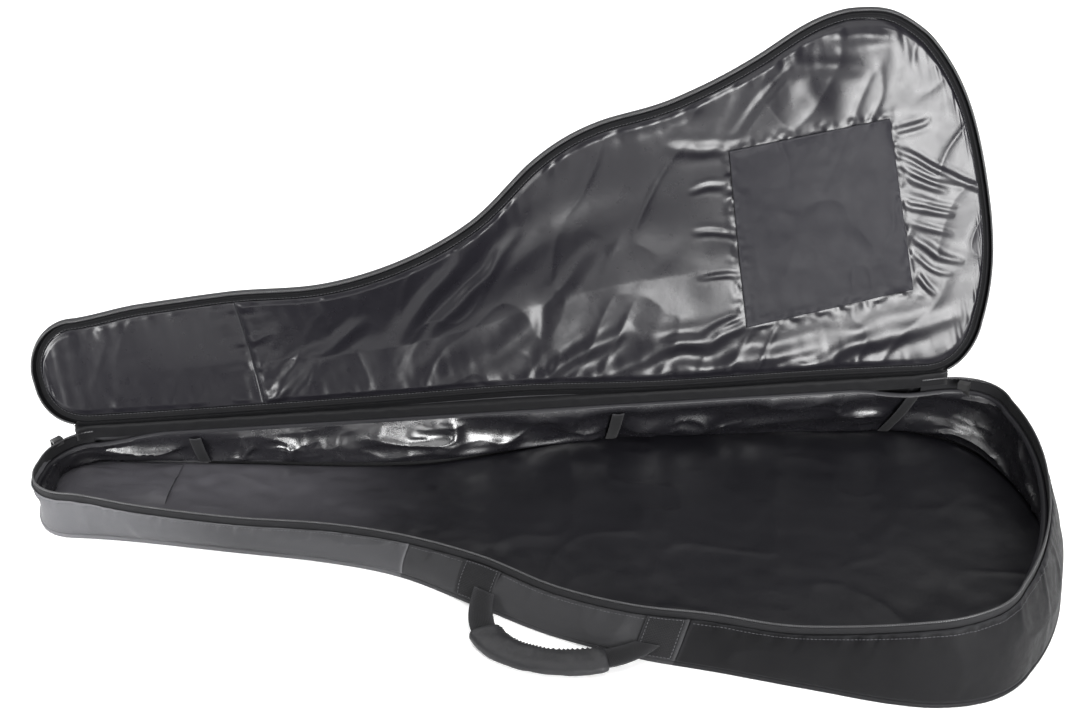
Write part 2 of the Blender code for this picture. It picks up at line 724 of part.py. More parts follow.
def zip_and_hinge():
    round_the_zip = columns_between(HINGE_HEAD_COLUMN + 0.02, HINGE_TAIL_COLUMN + COLUMNS - 0.02)
    hinge = columns_between(HINGE_TAIL_COLUMN + 0.0, HINGE_HEAD_COLUMN + 0.0)
    rim_strip("lower_zip_tape", tape_section(WALL_TOP_DROP - GAP, TAPE_TOP, -1), round_the_zip, "zip_tape", stand)
    rim_strip("hinge_tape", upright(GAP - WALL_TOP_DROP, -HINGE_FOLD_GAP), hinge, "zip_tape", stand)
    coil = [rim_point(c, COIL_INSET, -COIL_APART) for c in round_the_zip]
    tube("lower_zip_coil", coil, COIL_RADIUS, "coil", stand)
    start = column_on_arc(COIL_START_DEGREES, True)
    end = column_on_arc(COIL_START_DEGREES, False) + COLUMNS
    upper = columns_between(start, end)
    rim_strip("upper_zip_tape", tape_section(BAND_FOOT - GAP, TAPE_TOP, 1), upper, "zip_tape", lid_hinge)
    tube("upper_zip_coil", [rim_point(c, COIL_INSET, COIL_APART) for c in upper], COIL_RADIUS, "coil", lid_hinge)
    lid_fold = columns_between(end - COLUMNS + 0.02, start - 0.02)
    rim_strip("lid_hinge_tape", upright(BAND_FOOT - GAP, HINGE_FOLD_GAP), lid_fold, "zip_tape", lid_hinge)


zip_and_hinge()


# Lid: band, piping, padded panel, patches and pocket

def lid_band():
    foot = TAPE_INSET
    section = [(foot, BAND_FOOT), (BAND_WIDTH, BAND_FOOT), (LID_INSET - GAP, LID_COVER_BASE),
               (LID_INSET - 2 * COVER, LID_TOP), (foot, BAND_FOOT + BAND_SKIRT)]
    rim_strip("lid_band", section, whole, "black_polyester", lid_hinge, loop=True)
    inset = LID_INSET - 2 * COVER
    line = [rim_point(c, inset, LID_TOP + GAP + LID_PIPING_RADIUS) for c in whole]
    tube("lid_piping", line, LID_PIPING_RADIUS, "black_polyester", lid_hinge, loop=True)


lid_band()


def lid_layer(name, low, high, finish, rungs=(0.0, float(CHAIN)), near=0.0, far=1.0):
    """A layer of the lid panel between two heights, over a range of rungs and a share of the width."""
    lines = columns_between(*rungs)
    inner = [j / ACROSS for j in range(1, ACROSS) if near < j / ACROSS < far]
    steps = [near, *inner, far]
    faces = []
    for height in (high, low):
        grid = lid_grid(height)
        faces.append([[lid_point(grid, k, v) for v in steps] for k in lines])
    return slab(name, *faces, finish, lid_hinge)


def lid_panel():
    seam = lid_rung(HEAD_SEAM_X)
    gap = GAP / (HEAD_REACH + TAIL_REACH) * CHAIN / 2
    tail = float(CHAIN)
    lid_layer("lid_cover", LID_COVER_BASE, LID_TOP, "black_polyester")
    lid_layer("lid_foam", LID_FOAM_BASE, LID_FOAM_BASE + FOAM, "foam")
    lid_layer("lid_lining", LID_LINING_BASE, LID_LINING_BASE + LINING, "satin_lining", (seam + gap, tail))
    lid_layer("lid_head_lining", LID_LINING_BASE, LID_LINING_BASE + LINING, "satin_lining", (0.0, seam - gap))
    patch = (lid_rung(BRIDGE_PATCH_HEAD_X), lid_rung(BRIDGE_PATCH_TAIL_X))
    lid_layer("bridge_patch", LID_LINING_BASE - CURVED_GAP - PATCH, LID_LINING_BASE - CURVED_GAP, "dark_lining",
              patch, BRIDGE_PATCH_NEAR, BRIDGE_PATCH_FAR)
    lid_layer("lid_head_cover", LID_TOP + CURVED_GAP, LID_TOP + CURVED_GAP + COVER, "black_polyester",
              (1.0, seam), HEAD_COVER_NEAR, HEAD_COVER_FAR)
    pocket = (lid_rung(POCKET_HEAD_X), lid_rung(POCKET_TAIL_X))
    lid_layer("front_pocket", LID_TOP + GAP, LID_TOP + GAP + POCKET, "black_polyester",
              pocket, POCKET_NEAR, POCKET_FAR)


lid_panel()


def pull_outline():
    """A tongue with a hole at its lower end, hanging from y = 0."""
    half, neck = PULL_WIDTH / 2, PULL_NECK / 2
    low = PULL_LENGTH - half
    tongue = [(neck, 0), *[(x, y - low) for x, y in arc((0, 0), half, 0, -math.pi, 8)], (-neck, 0)]
    return [tongue, arc((0, -low), PULL_HOLE, 0, 2 * math.pi, 10)[:-1]]


def pocket_zip():
    """The pocket's straight zip, level with the hinge, its slider and its pull."""
    def on_lid(x, height):
        y = hinge_y(x) - POCKET_ZIP_FROM_HINGE * HINGE_STRETCH
        return Vector((x, y, rim_plane(x) + height))

    along = (hinge_end - hinge_start).normalized()
    base = LID_TOP + GAP
    half = POCKET_TAPE_WIDTH / 2
    across = Vector((0, 0, 1)).cross(along).normalized()
    ends = [on_lid(x, base) for x in (POCKET_ZIP_HEAD_X, POCKET_ZIP_TAIL_X)]
    rings = []
    for end in ends:
        low = [end - across * half, end + across * half]
        rings.append([*low, *[p + Vector((0, 0, ZIP_TAPE)) for p in reversed(low)]])
    loft("pocket_zip_tape", rings, "zip_tape", lid_hinge)
    lift = Vector((0, 0, ZIP_TAPE + GAP + COIL_RADIUS))
    tube("pocket_zip_coil", [end + lift for end in ends], COIL_RADIUS, "coil", lid_hinge)
    start = ends[0] + along * POCKET_SLIDER_START + lift
    rail = empty("pocket_slide", closed_places[lid_hinge].inverted() @ frame(start, along, across), lid_hinge)
    roof = COIL_RADIUS + SLIDER_CLEAR / 2
    arch = [(-roof - SLIDER_PLATE, 0), (-roof, 0), (-roof, roof), (roof, roof), (roof, 0),
            (roof + SLIDER_PLATE, 0), (roof + SLIDER_PLATE, roof + SLIDER_PLATE),
            (-roof - SLIDER_PLATE, roof + SLIDER_PLATE)]
    # The arch is drawn across the coil, so its own X and Y are the rail's Y and Z
    stand_up = Matrix(((0, 0, 1, 0), (1, 0, 0, 0), (0, 1, 0, 0), (0, 0, 0, 1)))
    flat_piece("pocket_slider", [arch], SLIDER_LENGTH, "black_metal", rail, stand_up)
    pivot_height = roof + SLIDER_PLATE + GAP + PULL_THICK / 2
    hang = math.radians(LID_OPEN_DEGREES - 90)
    pivot = empty("pocket_pull_axis", Matrix.Translation((0, 0, pivot_height)), rail)
    # The tongue hangs straight down when the lid is open: its own -Y is the rail's +Y, turned up off the lid
    down = Matrix.Rotation(math.pi + hang, 4, "X")
    flat_piece("pocket_pull", pull_outline(), PULL_THICK, "black_metal", pivot, down)


pocket_zip()


# Main zip's sliders, which run round the far corners from the ends of the hinge

def pull_lean(column, centre, reach, height):
    """How far the pull leans out from straight down, so that it lies clear of the wall below its pivot."""
    lean = 0
    for up in np.linspace(0, 1, PULL_WALL_LOOKS):
        x, y, z = wall_point(column, up, 0)
        out = math.hypot(x - centre[0], y - centre[1]) - reach
        down = height - z
        if down < PULL_LENGTH:
            lean = max(lean, math.atan2(out + PULL_WALL_CLEAR, down))
    return lean


def zip_slider(name, centre, radius, column, angle, centre_height):
    """A slider on the lower coil: two plates that straddle it, joined by a bridge, and a pull that hangs outside."""
    normal = Vector((-RIM_SLOPE, 0, 1)).normalized()
    middle = Vector((*centre, centre_height))
    axis = empty(f"{name}_slider_arc", frame(middle, normal, (math.cos(angle), math.sin(angle), 0)), stand)
    # The arc's own Y points at the slider, and its own X is the axis it turns on
    out_half = COIL_RADIUS + SLIDER_CLEAR
    low, bridge = -SLIDER_REACH_DOWN, SLIDER_BRIDGE / 2
    section = [(-out_half - SLIDER_PLATE, low), (-out_half, low), (-out_half, -bridge), (out_half, -bridge),
               (out_half, low), (out_half + SLIDER_PLATE, low), (out_half + SLIDER_PLATE, bridge),
               (-out_half - SLIDER_PLATE, bridge)]
    # Drawn with its own X outwards and its own Y up, which are the arc's Y and X
    place = Matrix(((0, 1, 0, 0), (1, 0, 0, radius - COIL_INSET), (0, 0, -1, 0), (0, 0, 0, 1)))
    flat_piece(f"{name}_slider", [section], SLIDER_LENGTH, "black_metal", axis, place)
    outside = radius - COIL_INSET + out_half + SLIDER_PLATE + GAP + PULL_THICK / 2
    # The pull's axis runs along the coil, its own Y is up, and the tongue leans out from straight down
    turn = Matrix(((0, 1, 0, -bridge - GAP), (0, 0, 1, outside), (1, 0, 0, 0), (0, 0, 0, 1)))
    pivot = empty(f"{name}_pull_axis", turn, axis)
    lean = pull_lean(column, centre, outside, centre_height)
    flat_piece(f"{name}_pull", pull_outline(), PULL_THICK, "black_metal", pivot, Matrix.Rotation(-lean, 4, "X"))


zip_slider("head", HEAD_ARC_CENTRE, HEAD_CORNER, column_on_arc(HEAD_PARK_DEGREES, True),
           HINGE_ANGLE + math.radians(HEAD_PARK_DEGREES), rim_plane(HEAD_ARC_CENTRE[0]))
zip_slider("tail", TAIL_ARC_CENTRE, FAR_TAIL_CORNER, column_on_arc(TAIL_PARK_DEGREES, False),
           HINGE_ANGLE - math.radians(TAIL_PARK_DEGREES), rim_plane(TAIL_ARC_CENTRE[0]))


# Carry handle

def handle_bands():
    """Webbing bands sewn up the wall, which carry the handle's ends."""
    for name, x in (("head", HANDLE_BAND_HEAD_X), ("tail", HANDLE_BAND_TAIL_X)):
        columns = columns_between(near_column(x - HANDLE_BAND / 2), near_column(x + HANDLE_BAND / 2))
        faces = []
        for depth in (-HANDLE_BAND_GAP - HANDLE_BAND_THICK, -HANDLE_BAND_GAP):
            faces.append([[wall_point(c, up, depth) for up in (0.06, 0.5, 0.98)] for c in columns])
        slab(f"handle_band_{name}", *faces, "webbing", stand)


handle_bands()


def handle():
    ends = [Vector(wall_point(near_column(x), HANDLE_UP_THE_WALL, -HANDLE_OUT))
            for x in (HANDLE_HEAD_X, HANDLE_TAIL_X)]
    height = max(p.z for p in ends)
    ends = [Vector((p.x, p.y, height)) for p in ends]
    along = (ends[1] - ends[0]).normalized()
    out = along.cross(Vector((0, 0, 1)))
    axis_place = frame((ends[0] + ends[1]) / 2, along, out)
    axis = empty("handle_axis", axis_place, stand)
    closed_places[axis] = axis_place
    rest = GRIP_OFF_GROUND + GRIP_THICK / 2
    turns = [
        ends[0],
        ends[0] + out * HANDLE_HEAD_PULL + along * HANDLE_HEAD_SLANT,
        ends[1] + out * HANDLE_TAIL_PULL - along * HANDLE_TAIL_SLANT,
        ends[1],
    ]

    def at(t):
        weights = ((1 - t) ** 3, 3 * t * (1 - t) ** 2, 3 * t * t * (1 - t), t**3)
        point = sum((p * w for p, w in zip(turns, weights)), Vector())
        point.z = rest + (height - rest) * (2 * t - 1) ** 4
        return point

    def wall_line(x):
        a, b = (Vector(wall_point(near_column(x + reach), HANDLE_UP_THE_WALL, 0)) for reach in (-1 * MM, 1 * MM))
        return Vector((b.x - a.x, b.y - a.y, 0)).normalized()

    edges = (-wall_line(HANDLE_HEAD_X), wall_line(HANDLE_TAIL_X))

    def sections(first, last, outline):
        rings = []
        for step in range(first, last + 1):
            t = step / HANDLE_STEPS
            ahead = at(min(t + 0.01, 1)) - at(max(t - 0.01, 0))
            square = ahead.cross(Vector((0, 0, 1))).normalized()
            # At its ends the webbing keeps its edge along the wall
            ease = min(1, min(t, 1 - t) / HANDLE_SQUARE_FROM)
            beside = edges[round(t)].lerp(square, ease).normalized()
            up = beside.cross(ahead).normalized()
            rings.append([at(t) + beside * s + up * z for s, z in outline])
        return rings

    half, thick = HANDLE_WEBBING / 2, WEBBING_THICK / 2
    ribbon = [(-half, -thick), (half, -thick), (half, thick), (-half, thick)]
    loft("handle_webbing", sections(0, HANDLE_STEPS, ribbon), "webbing", axis)
    oval = [(GRIP_WIDTH / 2 * math.copysign(abs(math.cos(a)) ** 0.8, math.cos(a)),
             GRIP_THICK / 2 * math.copysign(abs(math.sin(a)) ** 0.8, math.sin(a)))
            for a in np.linspace(0, 2 * math.pi, GRIP_SIDES, endpoint=False)]
    inner = [(s, z) for s, z in ((half + GAP, 0), (half + GAP, thick + GAP), (half * 0.5, thick + GAP),
                                 (0, thick + GAP), (-half * 0.5, thick + GAP), (-half - GAP, thick + GAP))]
    slot = inner + [(-s, -z) for s, z in inner]
    outer_rings = sections(GRIP_FIRST_STEP, GRIP_LAST_STEP, oval)
    inner_rings = sections(GRIP_FIRST_STEP, GRIP_LAST_STEP, slot)
    # A sleeve: the outer and inner faces are grids that close round the section
    outer = [[ring[j] for ring in outer_rings] for j in range(GRIP_SIDES)]
    inside = [[ring[j] for ring in inner_rings] for j in range(GRIP_SIDES)]
    slab("handle_grip", outer, inside, "webbing", axis, loop=True)
    return axis


handle()


# Shoulder straps under the back

def strap_parts():
    """Pads, yoke, ladder locks, webbing and anchor tabs, flat between the ground and the back panel."""
    thick = PIPING_HEIGHT
    length = STRAP_PAD_TAIL_X - STRAP_PAD_HEAD_X
    middle_x = (STRAP_PAD_TAIL_X + STRAP_PAD_HEAD_X) / 2
    high = PIPING_HEIGHT - STRAP_WEBBING_THICK / 2
    yoke_x = STRAP_PAD_HEAD_X - GAP - STRAP_YOKE_LENGTH / 2
    flat_piece("strap_yoke", [rounded(STRAP_YOKE_LENGTH, STRAP_YOKE_WIDTH, STRAP_PAD_CORNER)],
               STRAP_WEBBING_THICK, "black_polyester", stand, Matrix.Translation((yoke_x, 0, high)))
    for name, side_sign in (("near", -1), ("far", 1)):
        y = side_sign * STRAP_PAD_Y
        flat_piece(f"strap_pad_{name}", [rounded(length, STRAP_PAD_WIDTH, STRAP_PAD_CORNER)], thick,
                   "black_polyester", stand, Matrix.Translation((middle_x, y, thick / 2)))
        lock_x = STRAP_PAD_TAIL_X + GAP + LOCK_LENGTH / 2
        slot = (LOCK_LENGTH / 2 - LOCK_SLOT - LOCK_BAR / 2) / 2 + LOCK_BAR / 2 + LOCK_SLOT / 2
        frame_outline = rounded(LOCK_LENGTH, LOCK_WIDTH, LOCK_BAR)
        slots = []
        for x in (-slot, slot):
            hole = rounded(LOCK_SLOT, LOCK_WIDTH - 2 * LOCK_BAR, LOCK_SLOT / 3, 2)
            slots.append([(x + p[0], p[1]) for p in hole])
        lock_y = y
        flat_piece(f"ladder_lock_{name}", [frame_outline, *slots], thick * 0.7, "buckle_plastic", stand,
                   Matrix.Translation((lock_x, lock_y, PIPING_HEIGHT - thick * 0.35)))
        start = Vector((lock_x + LOCK_LENGTH / 2 + GAP, lock_y, high))
        anchor = Vector((STRAP_ANCHOR_X, side_sign * STRAP_ANCHOR_Y, high))
        run = anchor - start
        facing = frame(anchor, run, Vector((0, 0, 1)).cross(run))
        flat_piece(f"strap_anchor_{name}",
                   [[(-STRAP_ANCHOR_LENGTH / 2, -STRAP_WEBBING / 2), (STRAP_ANCHOR_LENGTH / 2, -STRAP_ANCHOR_WIDTH / 2),
                     (STRAP_ANCHOR_LENGTH / 2, STRAP_ANCHOR_WIDTH / 2), (-STRAP_ANCHOR_LENGTH / 2, STRAP_WEBBING / 2)]],
                   STRAP_WEBBING_THICK, "black_polyester", stand, facing)
        half = STRAP_WEBBING / 2
        tab = facing @ Vector((-STRAP_ANCHOR_LENGTH / 2 - GAP, 0, 0))
        beside = facing.to_3x3() @ Vector((0, 1, 0))
        corners = [start + Vector((0, -half, 0)), tab - beside * half, tab + beside * half, start + Vector((0, half, 0))]
        rings = [[corners[0], corners[3]], [corners[1], corners[2]]]
        solid = []
        for pair in rings:
            low = [p - Vector((0, 0, STRAP_WEBBING_THICK / 2)) for p in pair]
            top = [p + Vector((0, 0, STRAP_WEBBING_THICK / 2)) for p in reversed(pair)]
            solid.append([*low, *top])
        loft(f"strap_webbing_{name}", solid, "webbing", stand)


strap_parts()


def centre_on_origin():
    """Moves the whole bag so that the origin lies under the middle of its box."""
    bpy.context.view_layer.update()
    graph = bpy.context.evaluated_depsgraph_get()
    low, high = Vector((9, 9, 9)), Vector((-9, -9, -9))
    for piece in bag.objects:
        if piece.type == "EMPTY":
            continue
        solid = piece.evaluated_get(graph)
        mesh = solid.to_mesh()
        for vertex in mesh.vertices:
            place = solid.matrix_world @ vertex.co
            low = Vector(map(min, low, place))
            high = Vector(map(max, high, place))
        solid.to_mesh_clear()
    stand.location = (-(low.x + high.x) / 2, -(low.y + high.y) / 2, -low.z)
    bpy.context.view_layer.update()


centre_on_origin()
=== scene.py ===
import math
import re

import bpy
import numpy as np
from mathutils import Matrix, Vector


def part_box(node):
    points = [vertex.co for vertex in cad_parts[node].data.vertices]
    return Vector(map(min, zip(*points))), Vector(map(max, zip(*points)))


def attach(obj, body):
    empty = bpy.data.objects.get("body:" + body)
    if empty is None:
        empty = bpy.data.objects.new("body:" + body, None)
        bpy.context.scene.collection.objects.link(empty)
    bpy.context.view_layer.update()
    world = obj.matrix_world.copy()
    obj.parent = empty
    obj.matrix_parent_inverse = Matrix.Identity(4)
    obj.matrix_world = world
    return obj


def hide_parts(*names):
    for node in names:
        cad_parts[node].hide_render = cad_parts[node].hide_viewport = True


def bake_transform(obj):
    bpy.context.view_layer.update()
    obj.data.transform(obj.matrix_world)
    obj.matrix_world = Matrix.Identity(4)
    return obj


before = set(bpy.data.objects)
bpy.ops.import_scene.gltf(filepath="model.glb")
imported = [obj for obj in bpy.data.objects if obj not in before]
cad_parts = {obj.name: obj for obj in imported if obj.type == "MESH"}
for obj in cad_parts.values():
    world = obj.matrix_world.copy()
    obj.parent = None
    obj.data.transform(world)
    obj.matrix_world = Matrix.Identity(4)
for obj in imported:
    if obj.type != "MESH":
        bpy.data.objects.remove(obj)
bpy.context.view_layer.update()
mm = 0.001

# The bag is laid out with its lid closed, then the lid is turned open about its hinge
bag = dict(
    headReach=529 * mm,
    tailReach=532 * mm,
    headCorner=55 * mm,
    headHalf=73 * mm,
    lowerBout=216 * mm,
    nearTailCorner=102 * mm,
    farTailCorner=80 * mm,
    tailRadius=330 * mm,
    hingeYHead=41.5 * mm,
    hingeYTail=214.3 * mm,
    lidOpen=107.6,
    backHeadReach=531 * mm,
    backTailReach=547 * mm,
    backHeadCorner=64 * mm,
    backHeadHalf=66 * mm,
    backLowerBout=226 * mm,
    backTailCorner=138 * mm,
    backTailRadius=290 * mm,
    rimHead=58.5 * mm,
    rimTail=103.7 * mm,
    sagDepth=40 * mm,
    sagFrom=-470 * mm,
    sagDeepFrom=-40 * mm,
    sagDeepTo=230 * mm,
    sagTo=455 * mm,
    wallBulge=5 * mm,
    wallFoot=6.6 * mm,
    wallTopDrop=10 * mm,
    lidInset=13 * mm,
)
# Place along the bag, half width of the rim on the zip side, half width of the back
stations = [(-400, 79, 68), (-300, 77, 74), (-200, 68, 80), (-120, 75, 95), (-40, 101, 131), (40, 145, 168),
            (120, 170, 188), (200, 179, 199), (290, 198, 216)]
# The outline goes in columns, from the head along the near side to the tail and back along the hinge
steps = dict(head=7, side=22, corner=6, tail=3)
fine = 8  # small steps in each column
chainSteps = sum(steps.values())
loopColumns = 2 * chainSteps + 1
hingeHeadColumn = 2 * chainSteps - steps["head"]
hingeTailColumn = hingeHeadColumn - steps["side"]

hingeSlope = (bag["hingeYTail"] - bag["hingeYHead"]) / (bag["headReach"] + bag["tailReach"])
rimSlope = (bag["rimTail"] - bag["rimHead"]) / (bag["headReach"] + bag["tailReach"])


def hingeY(x):
    return bag["hingeYHead"] + hingeSlope * (x + bag["headReach"])


def rimPlane(x):
    return bag["rimHead"] + rimSlope * (x + bag["headReach"])


def sagAt(x):
    up = np.clip((x - bag["sagFrom"]) / (bag["sagDeepFrom"] - bag["sagFrom"]), 0, 1)
    down = np.clip((x - bag["sagDeepTo"]) / (bag["sagTo"] - bag["sagDeepTo"]), 0, 1)
    return bag["sagDepth"] * np.sin(up * math.pi / 2) ** 1.25 * (1 + np.cos(down * math.pi)) / 2


def arcLine(centre, radius, start, end, steps):
    a = np.linspace(start, end, steps * fine + 1)
    return np.stack([centre[0] + radius * np.cos(a), centre[1] + radius * np.sin(a)], 1)


def sideLine(start, end, column):
    inner = [(s[0] * mm, s[column] * mm) for s in stations if start[0] < s[0] * mm < end[0]]
    x, width = np.array([start, *inner, end]).T
    slope = np.zeros(len(x))
    slope[1:-1] = (width[2:] - width[:-2]) / (x[2:] - x[:-2])
    at = np.linspace(x[0], x[-1], steps["side"] * fine + 1)
    i = np.minimum(np.searchsorted(x, at, "right") - 1, len(x) - 2)
    run = x[i + 1] - x[i]
    u = (at - x[i]) / run
    value = width[i] * (1 + 2 * u) * (1 - u) ** 2 + width[i + 1] * u * u * (3 - 2 * u)
    value += run * (slope[i] * u * (1 - u) ** 2 - slope[i + 1] * u * u * (1 - u))
    return np.stack([at, -value], 1)


def cornerInside(endX, endRadius, corner, low):
    y = corner - low
    return endX + math.sqrt((endRadius - corner) ** 2 - y * y), y


def joined(parts):
    return np.vstack([parts[0]] + [p[1:] for p in parts[1:]])


def nearLine(head, headRadius, headHalf, tail, tailRadius, tailHalf, endX, endRadius, column):
    # head corner, curved side, tail corner and round end of the zip side, and the angle where the end begins
    turn = math.atan2(tail[1], tail[0] - endX)
    return joined([
        arcLine(head, headRadius, -math.pi, -math.pi / 2, steps["head"]),
        sideLine((head[0], headHalf), (tail[0], tailHalf), column),
        arcLine(tail, tailRadius, -math.pi / 2, turn, steps["corner"]),
        arcLine((endX, 0), endRadius, turn, 0, steps["tail"]),
    ])


def rimLines():
    stretch = math.hypot(1, hingeSlope)
    hingeAngle = math.atan2(1, -hingeSlope)
    headX = bag["headCorner"] - bag["headReach"]
    farHead = (headX, hingeY(headX) - bag["headCorner"] * stretch)
    endX = bag["tailReach"] - bag["tailRadius"]
    level = hingeY(endX) - bag["farTailCorner"] * stretch
    # where the far tail corner's arc touches both the hinge line and the round end
    a = 1 + hingeSlope ** 2
    b = hingeSlope * level
    c = level ** 2 - (bag["tailRadius"] - bag["farTailCorner"]) ** 2
    step = (-b + math.sqrt(b * b - a * c)) / a
    farTail = (endX + step, level + hingeSlope * step)
    farTurn = math.atan2(farTail[1], farTail[0] - endX)
    near = nearLine((headX, bag["headCorner"] - bag["headHalf"]), bag["headCorner"], bag["headHalf"],
                    cornerInside(endX, bag["tailRadius"], bag["nearTailCorner"], bag["lowerBout"]),
                    bag["nearTailCorner"], bag["lowerBout"], endX, bag["tailRadius"], 1)
    headArc = arcLine(farHead, bag["headCorner"], math.pi, hingeAngle, steps["head"])
    tailArc = arcLine(farTail, bag["farTailCorner"], hingeAngle, farTurn, steps["corner"])
    hinge = np.linspace(headArc[-1], tailArc[0], steps["side"] * fine + 1)
    far = joined([headArc, hinge, tailArc, arcLine((endX, 0), bag["tailRadius"], farTurn, 0, steps["tail"])])
    arcs = math.degrees(math.pi - hingeAngle), math.degrees(hingeAngle - farTurn)
    return near, far, arcs


def backLines():
    head = (bag["backHeadCorner"] - bag["backHeadReach"], bag["backHeadCorner"] - bag["backHeadHalf"])
    endX = bag["backTailReach"] - bag["backTailRadius"]
    tail = cornerInside(endX, bag["backTailRadius"], bag["backTailCorner"], bag["backLowerBout"])
    near = nearLine(head, bag["backHeadCorner"], bag["backHeadHalf"], tail, bag["backTailCorner"],
                    bag["backLowerBout"], endX, bag["backTailRadius"], 2)
    return near, near * (1, -1)


def closedLoop(near, far):
    return np.vstack([near, far[-2::-1], np.linspace(far[0], near[0], fine + 1)[1:-1]])


def inwardOf(loop):
    ahead = np.roll(loop, -1, 0) - np.roll(loop, 1, 0)
    normal = np.stack([-ahead[:, 1], ahead[:, 0]], 1)
    return normal / np.linalg.norm(normal, axis=1)[:, None]


rimNear, rimFar, (headArc, tailArc) = rimLines()  # arcs of the far corners, in degrees
rim = closedLoop(rimNear, rimFar)
back = closedLoop(*backLines())
rimIn = inwardOf(rim)
backIn = inwardOf(back)
parting = rimPlane(rim[:, 0]) - sagAt(rim[:, 0]) * (np.arange(len(rim)) <= chainSteps * fine)

# Soft edges lie a little off the even outline: pairs of column and mm outwards
settle = dict(
    base=[(0, -4), (4, 0), (9, 0), (13, -2), (24, -2), (27, 0), (30, 2), (33, 0), (36, -8), (38, -8), (40, 6),
          (42, 20), (43.5, 21), (45, 11), (46.3, 3), (47, 0), (70, 0), (73, -4), (77, -4)],
    lid=[(0, 6), (4, 4), (6, 2), (8, -3), (9.5, -8), (11, -9), (12.5, -10), (14, -13), (15.5, -12), (17, -15),
         (18.5, -17), (20, -10), (21.5, -6), (23, -14), (24, -11), (25, -12), (26, -12), (27, -4), (28, 2),
         (29, 0), (30, -2), (31, 0), (32, 1), (33, -1), (34, -2), (35, 1), (36, -1), (37, -11), (38, -16),
         (39, -12), (40, -8), (41.5, -6), (43, -3), (45, 2), (46.6, 0), (50, -2), (51.4, -1), (53.8, 0),
         (56, -3), (57.4, -6), (60, -4), (62.3, -2), (67.1, 0), (70, 0), (73, 5), (77, 6)],
    back=[(0, -5), (2.5, -2), (5, 7), (8, 1), (21, 0), (23, 5), (25, 4), (26.5, 1), (30, 6), (33, 11), (35, 6),
          (37, -2), (41, 0), (70, 0), (73, 2), (77, -5)],
)


def settled(loop, inwards, part):
    places, outwards = np.array(settle[part]).T
    away = np.interp(np.arange(len(loop)) / fine, places, outwards)
    near = 2 * fine  # the steps are rounded over this many columns
    kernel = np.hanning(2 * near + 1)
    away = np.convolve(np.concatenate([away[-near:], away, away[:near]]), kernel / kernel.sum(), "valid")
    return loop - inwards * away[:, None] * mm


rims = {part: settled(rim, rimIn, part) for part in ("base", "lid")}
rimIns = {part: inwardOf(rims[part]) for part in rims}
back = settled(back, backIn, "back")

wallRows = np.stack([np.column_stack([back, np.full(len(back), bag["wallFoot"])]), np.zeros((len(back), 3)),
                     np.column_stack([rims["base"], parting - bag["wallTopDrop"]])], 1)
wallRows[:, 1] = (wallRows[:, 0] + wallRows[:, 2]) / 2
fromHead = np.minimum(np.arange(len(rim)), len(rim) - np.arange(len(rim))) / fine
wallRows[:, 1, :2] -= backIn * bag["wallBulge"] * (1 - 2.4 * np.exp(-(fromHead / 5) ** 2))[:, None]
wallAlong = np.roll(wallRows, -1, 0) - np.roll(wallRows, 1, 0)

# Where the layout stands in the frame: the back is the same on both sides of the layout's middle line
pipingLow, pipingHigh = (np.array(corner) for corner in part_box("back_piping"))
shift = (pipingLow + pipingHigh) / 2 - ((bag["backTailReach"] - bag["backHeadReach"]) / 2, 0, 0)
standPlace = Matrix.Translation((shift[0], shift[1], 0))


def hingeFrame():
    ends = [Vector((x, hingeY(x), rimPlane(x))) for x in (-bag["headReach"], bag["tailReach"])]
    x = (ends[1] - ends[0]).normalized()
    z = x.cross(Vector((0, 1, 0))).normalized()
    return Matrix.Translation((ends[0] + ends[1]) / 2) @ Matrix((x, z.cross(x), z)).transposed().to_4x4()


hingePlace = hingeFrame()
lidTurn = Matrix.Rotation(-math.radians(bag["lidOpen"]), 4, "X")
places = {"base": standPlace, "handle": standPlace,
          "lid": standPlace @ hingePlace @ lidTurn @ hingePlace.inverted()}
print("layout stands at", shift)


def pick(values, column):
    # values of a closed loop at any place between its columns
    at = np.mod(np.asarray(column, float) * fine, len(values))
    i = np.floor(at).astype(int) % len(values)
    share = (at - np.floor(at)).reshape(at.shape + (1,) * (values.ndim - 1))
    return values[i] * (1 - share) + values[(i + 1) % len(values)] * share


def wallAt(columns, ups, depth=0.0):
    # outer face of the side wall through its foot, middle and top rows, and the way out of it
    rows = pick(wallRows, columns)
    along = pick(wallAlong, columns)
    u = np.broadcast_to(np.asarray(ups, float), (len(rows), np.shape(ups)[-1]))[..., None]
    weights = ((1 - u) * (1 - 2 * u), 4 * u * (1 - u), u * (2 * u - 1))
    rises = (4 * u - 3, 4 - 8 * u, 4 * u - 1)
    point = sum(rows[:, None, i] * weights[i] for i in range(3))
    ahead = sum(along[:, None, i] * weights[i] for i in range(3))
    rise = sum(rows[:, None, i] * rises[i] for i in range(3))
    out = np.cross(ahead, rise)
    out /= np.linalg.norm(out, axis=-1)[..., None]
    if np.ndim(depth):
        depth = depth[..., None]
    return point - out * depth, out


def upAt(columns, height):
    rows = pick(wallRows, columns)
    return (height - rows[:, 0, 2]) / (rows[:, 2, 2] - rows[:, 0, 2])


def rimAt(columns, inset, height, part="base"):
    plan = pick(rims[part], columns) + pick(rimIns[part], columns) * inset
    level = pick(parting[:, None], columns)[:, 0] + height
    return np.column_stack([plan, level])


def fallAt(share):
    # how much of the zip side's sag is left at this share of the way to the hinge
    return np.clip(1 - share / 0.6, 0, 1) ** 1.3


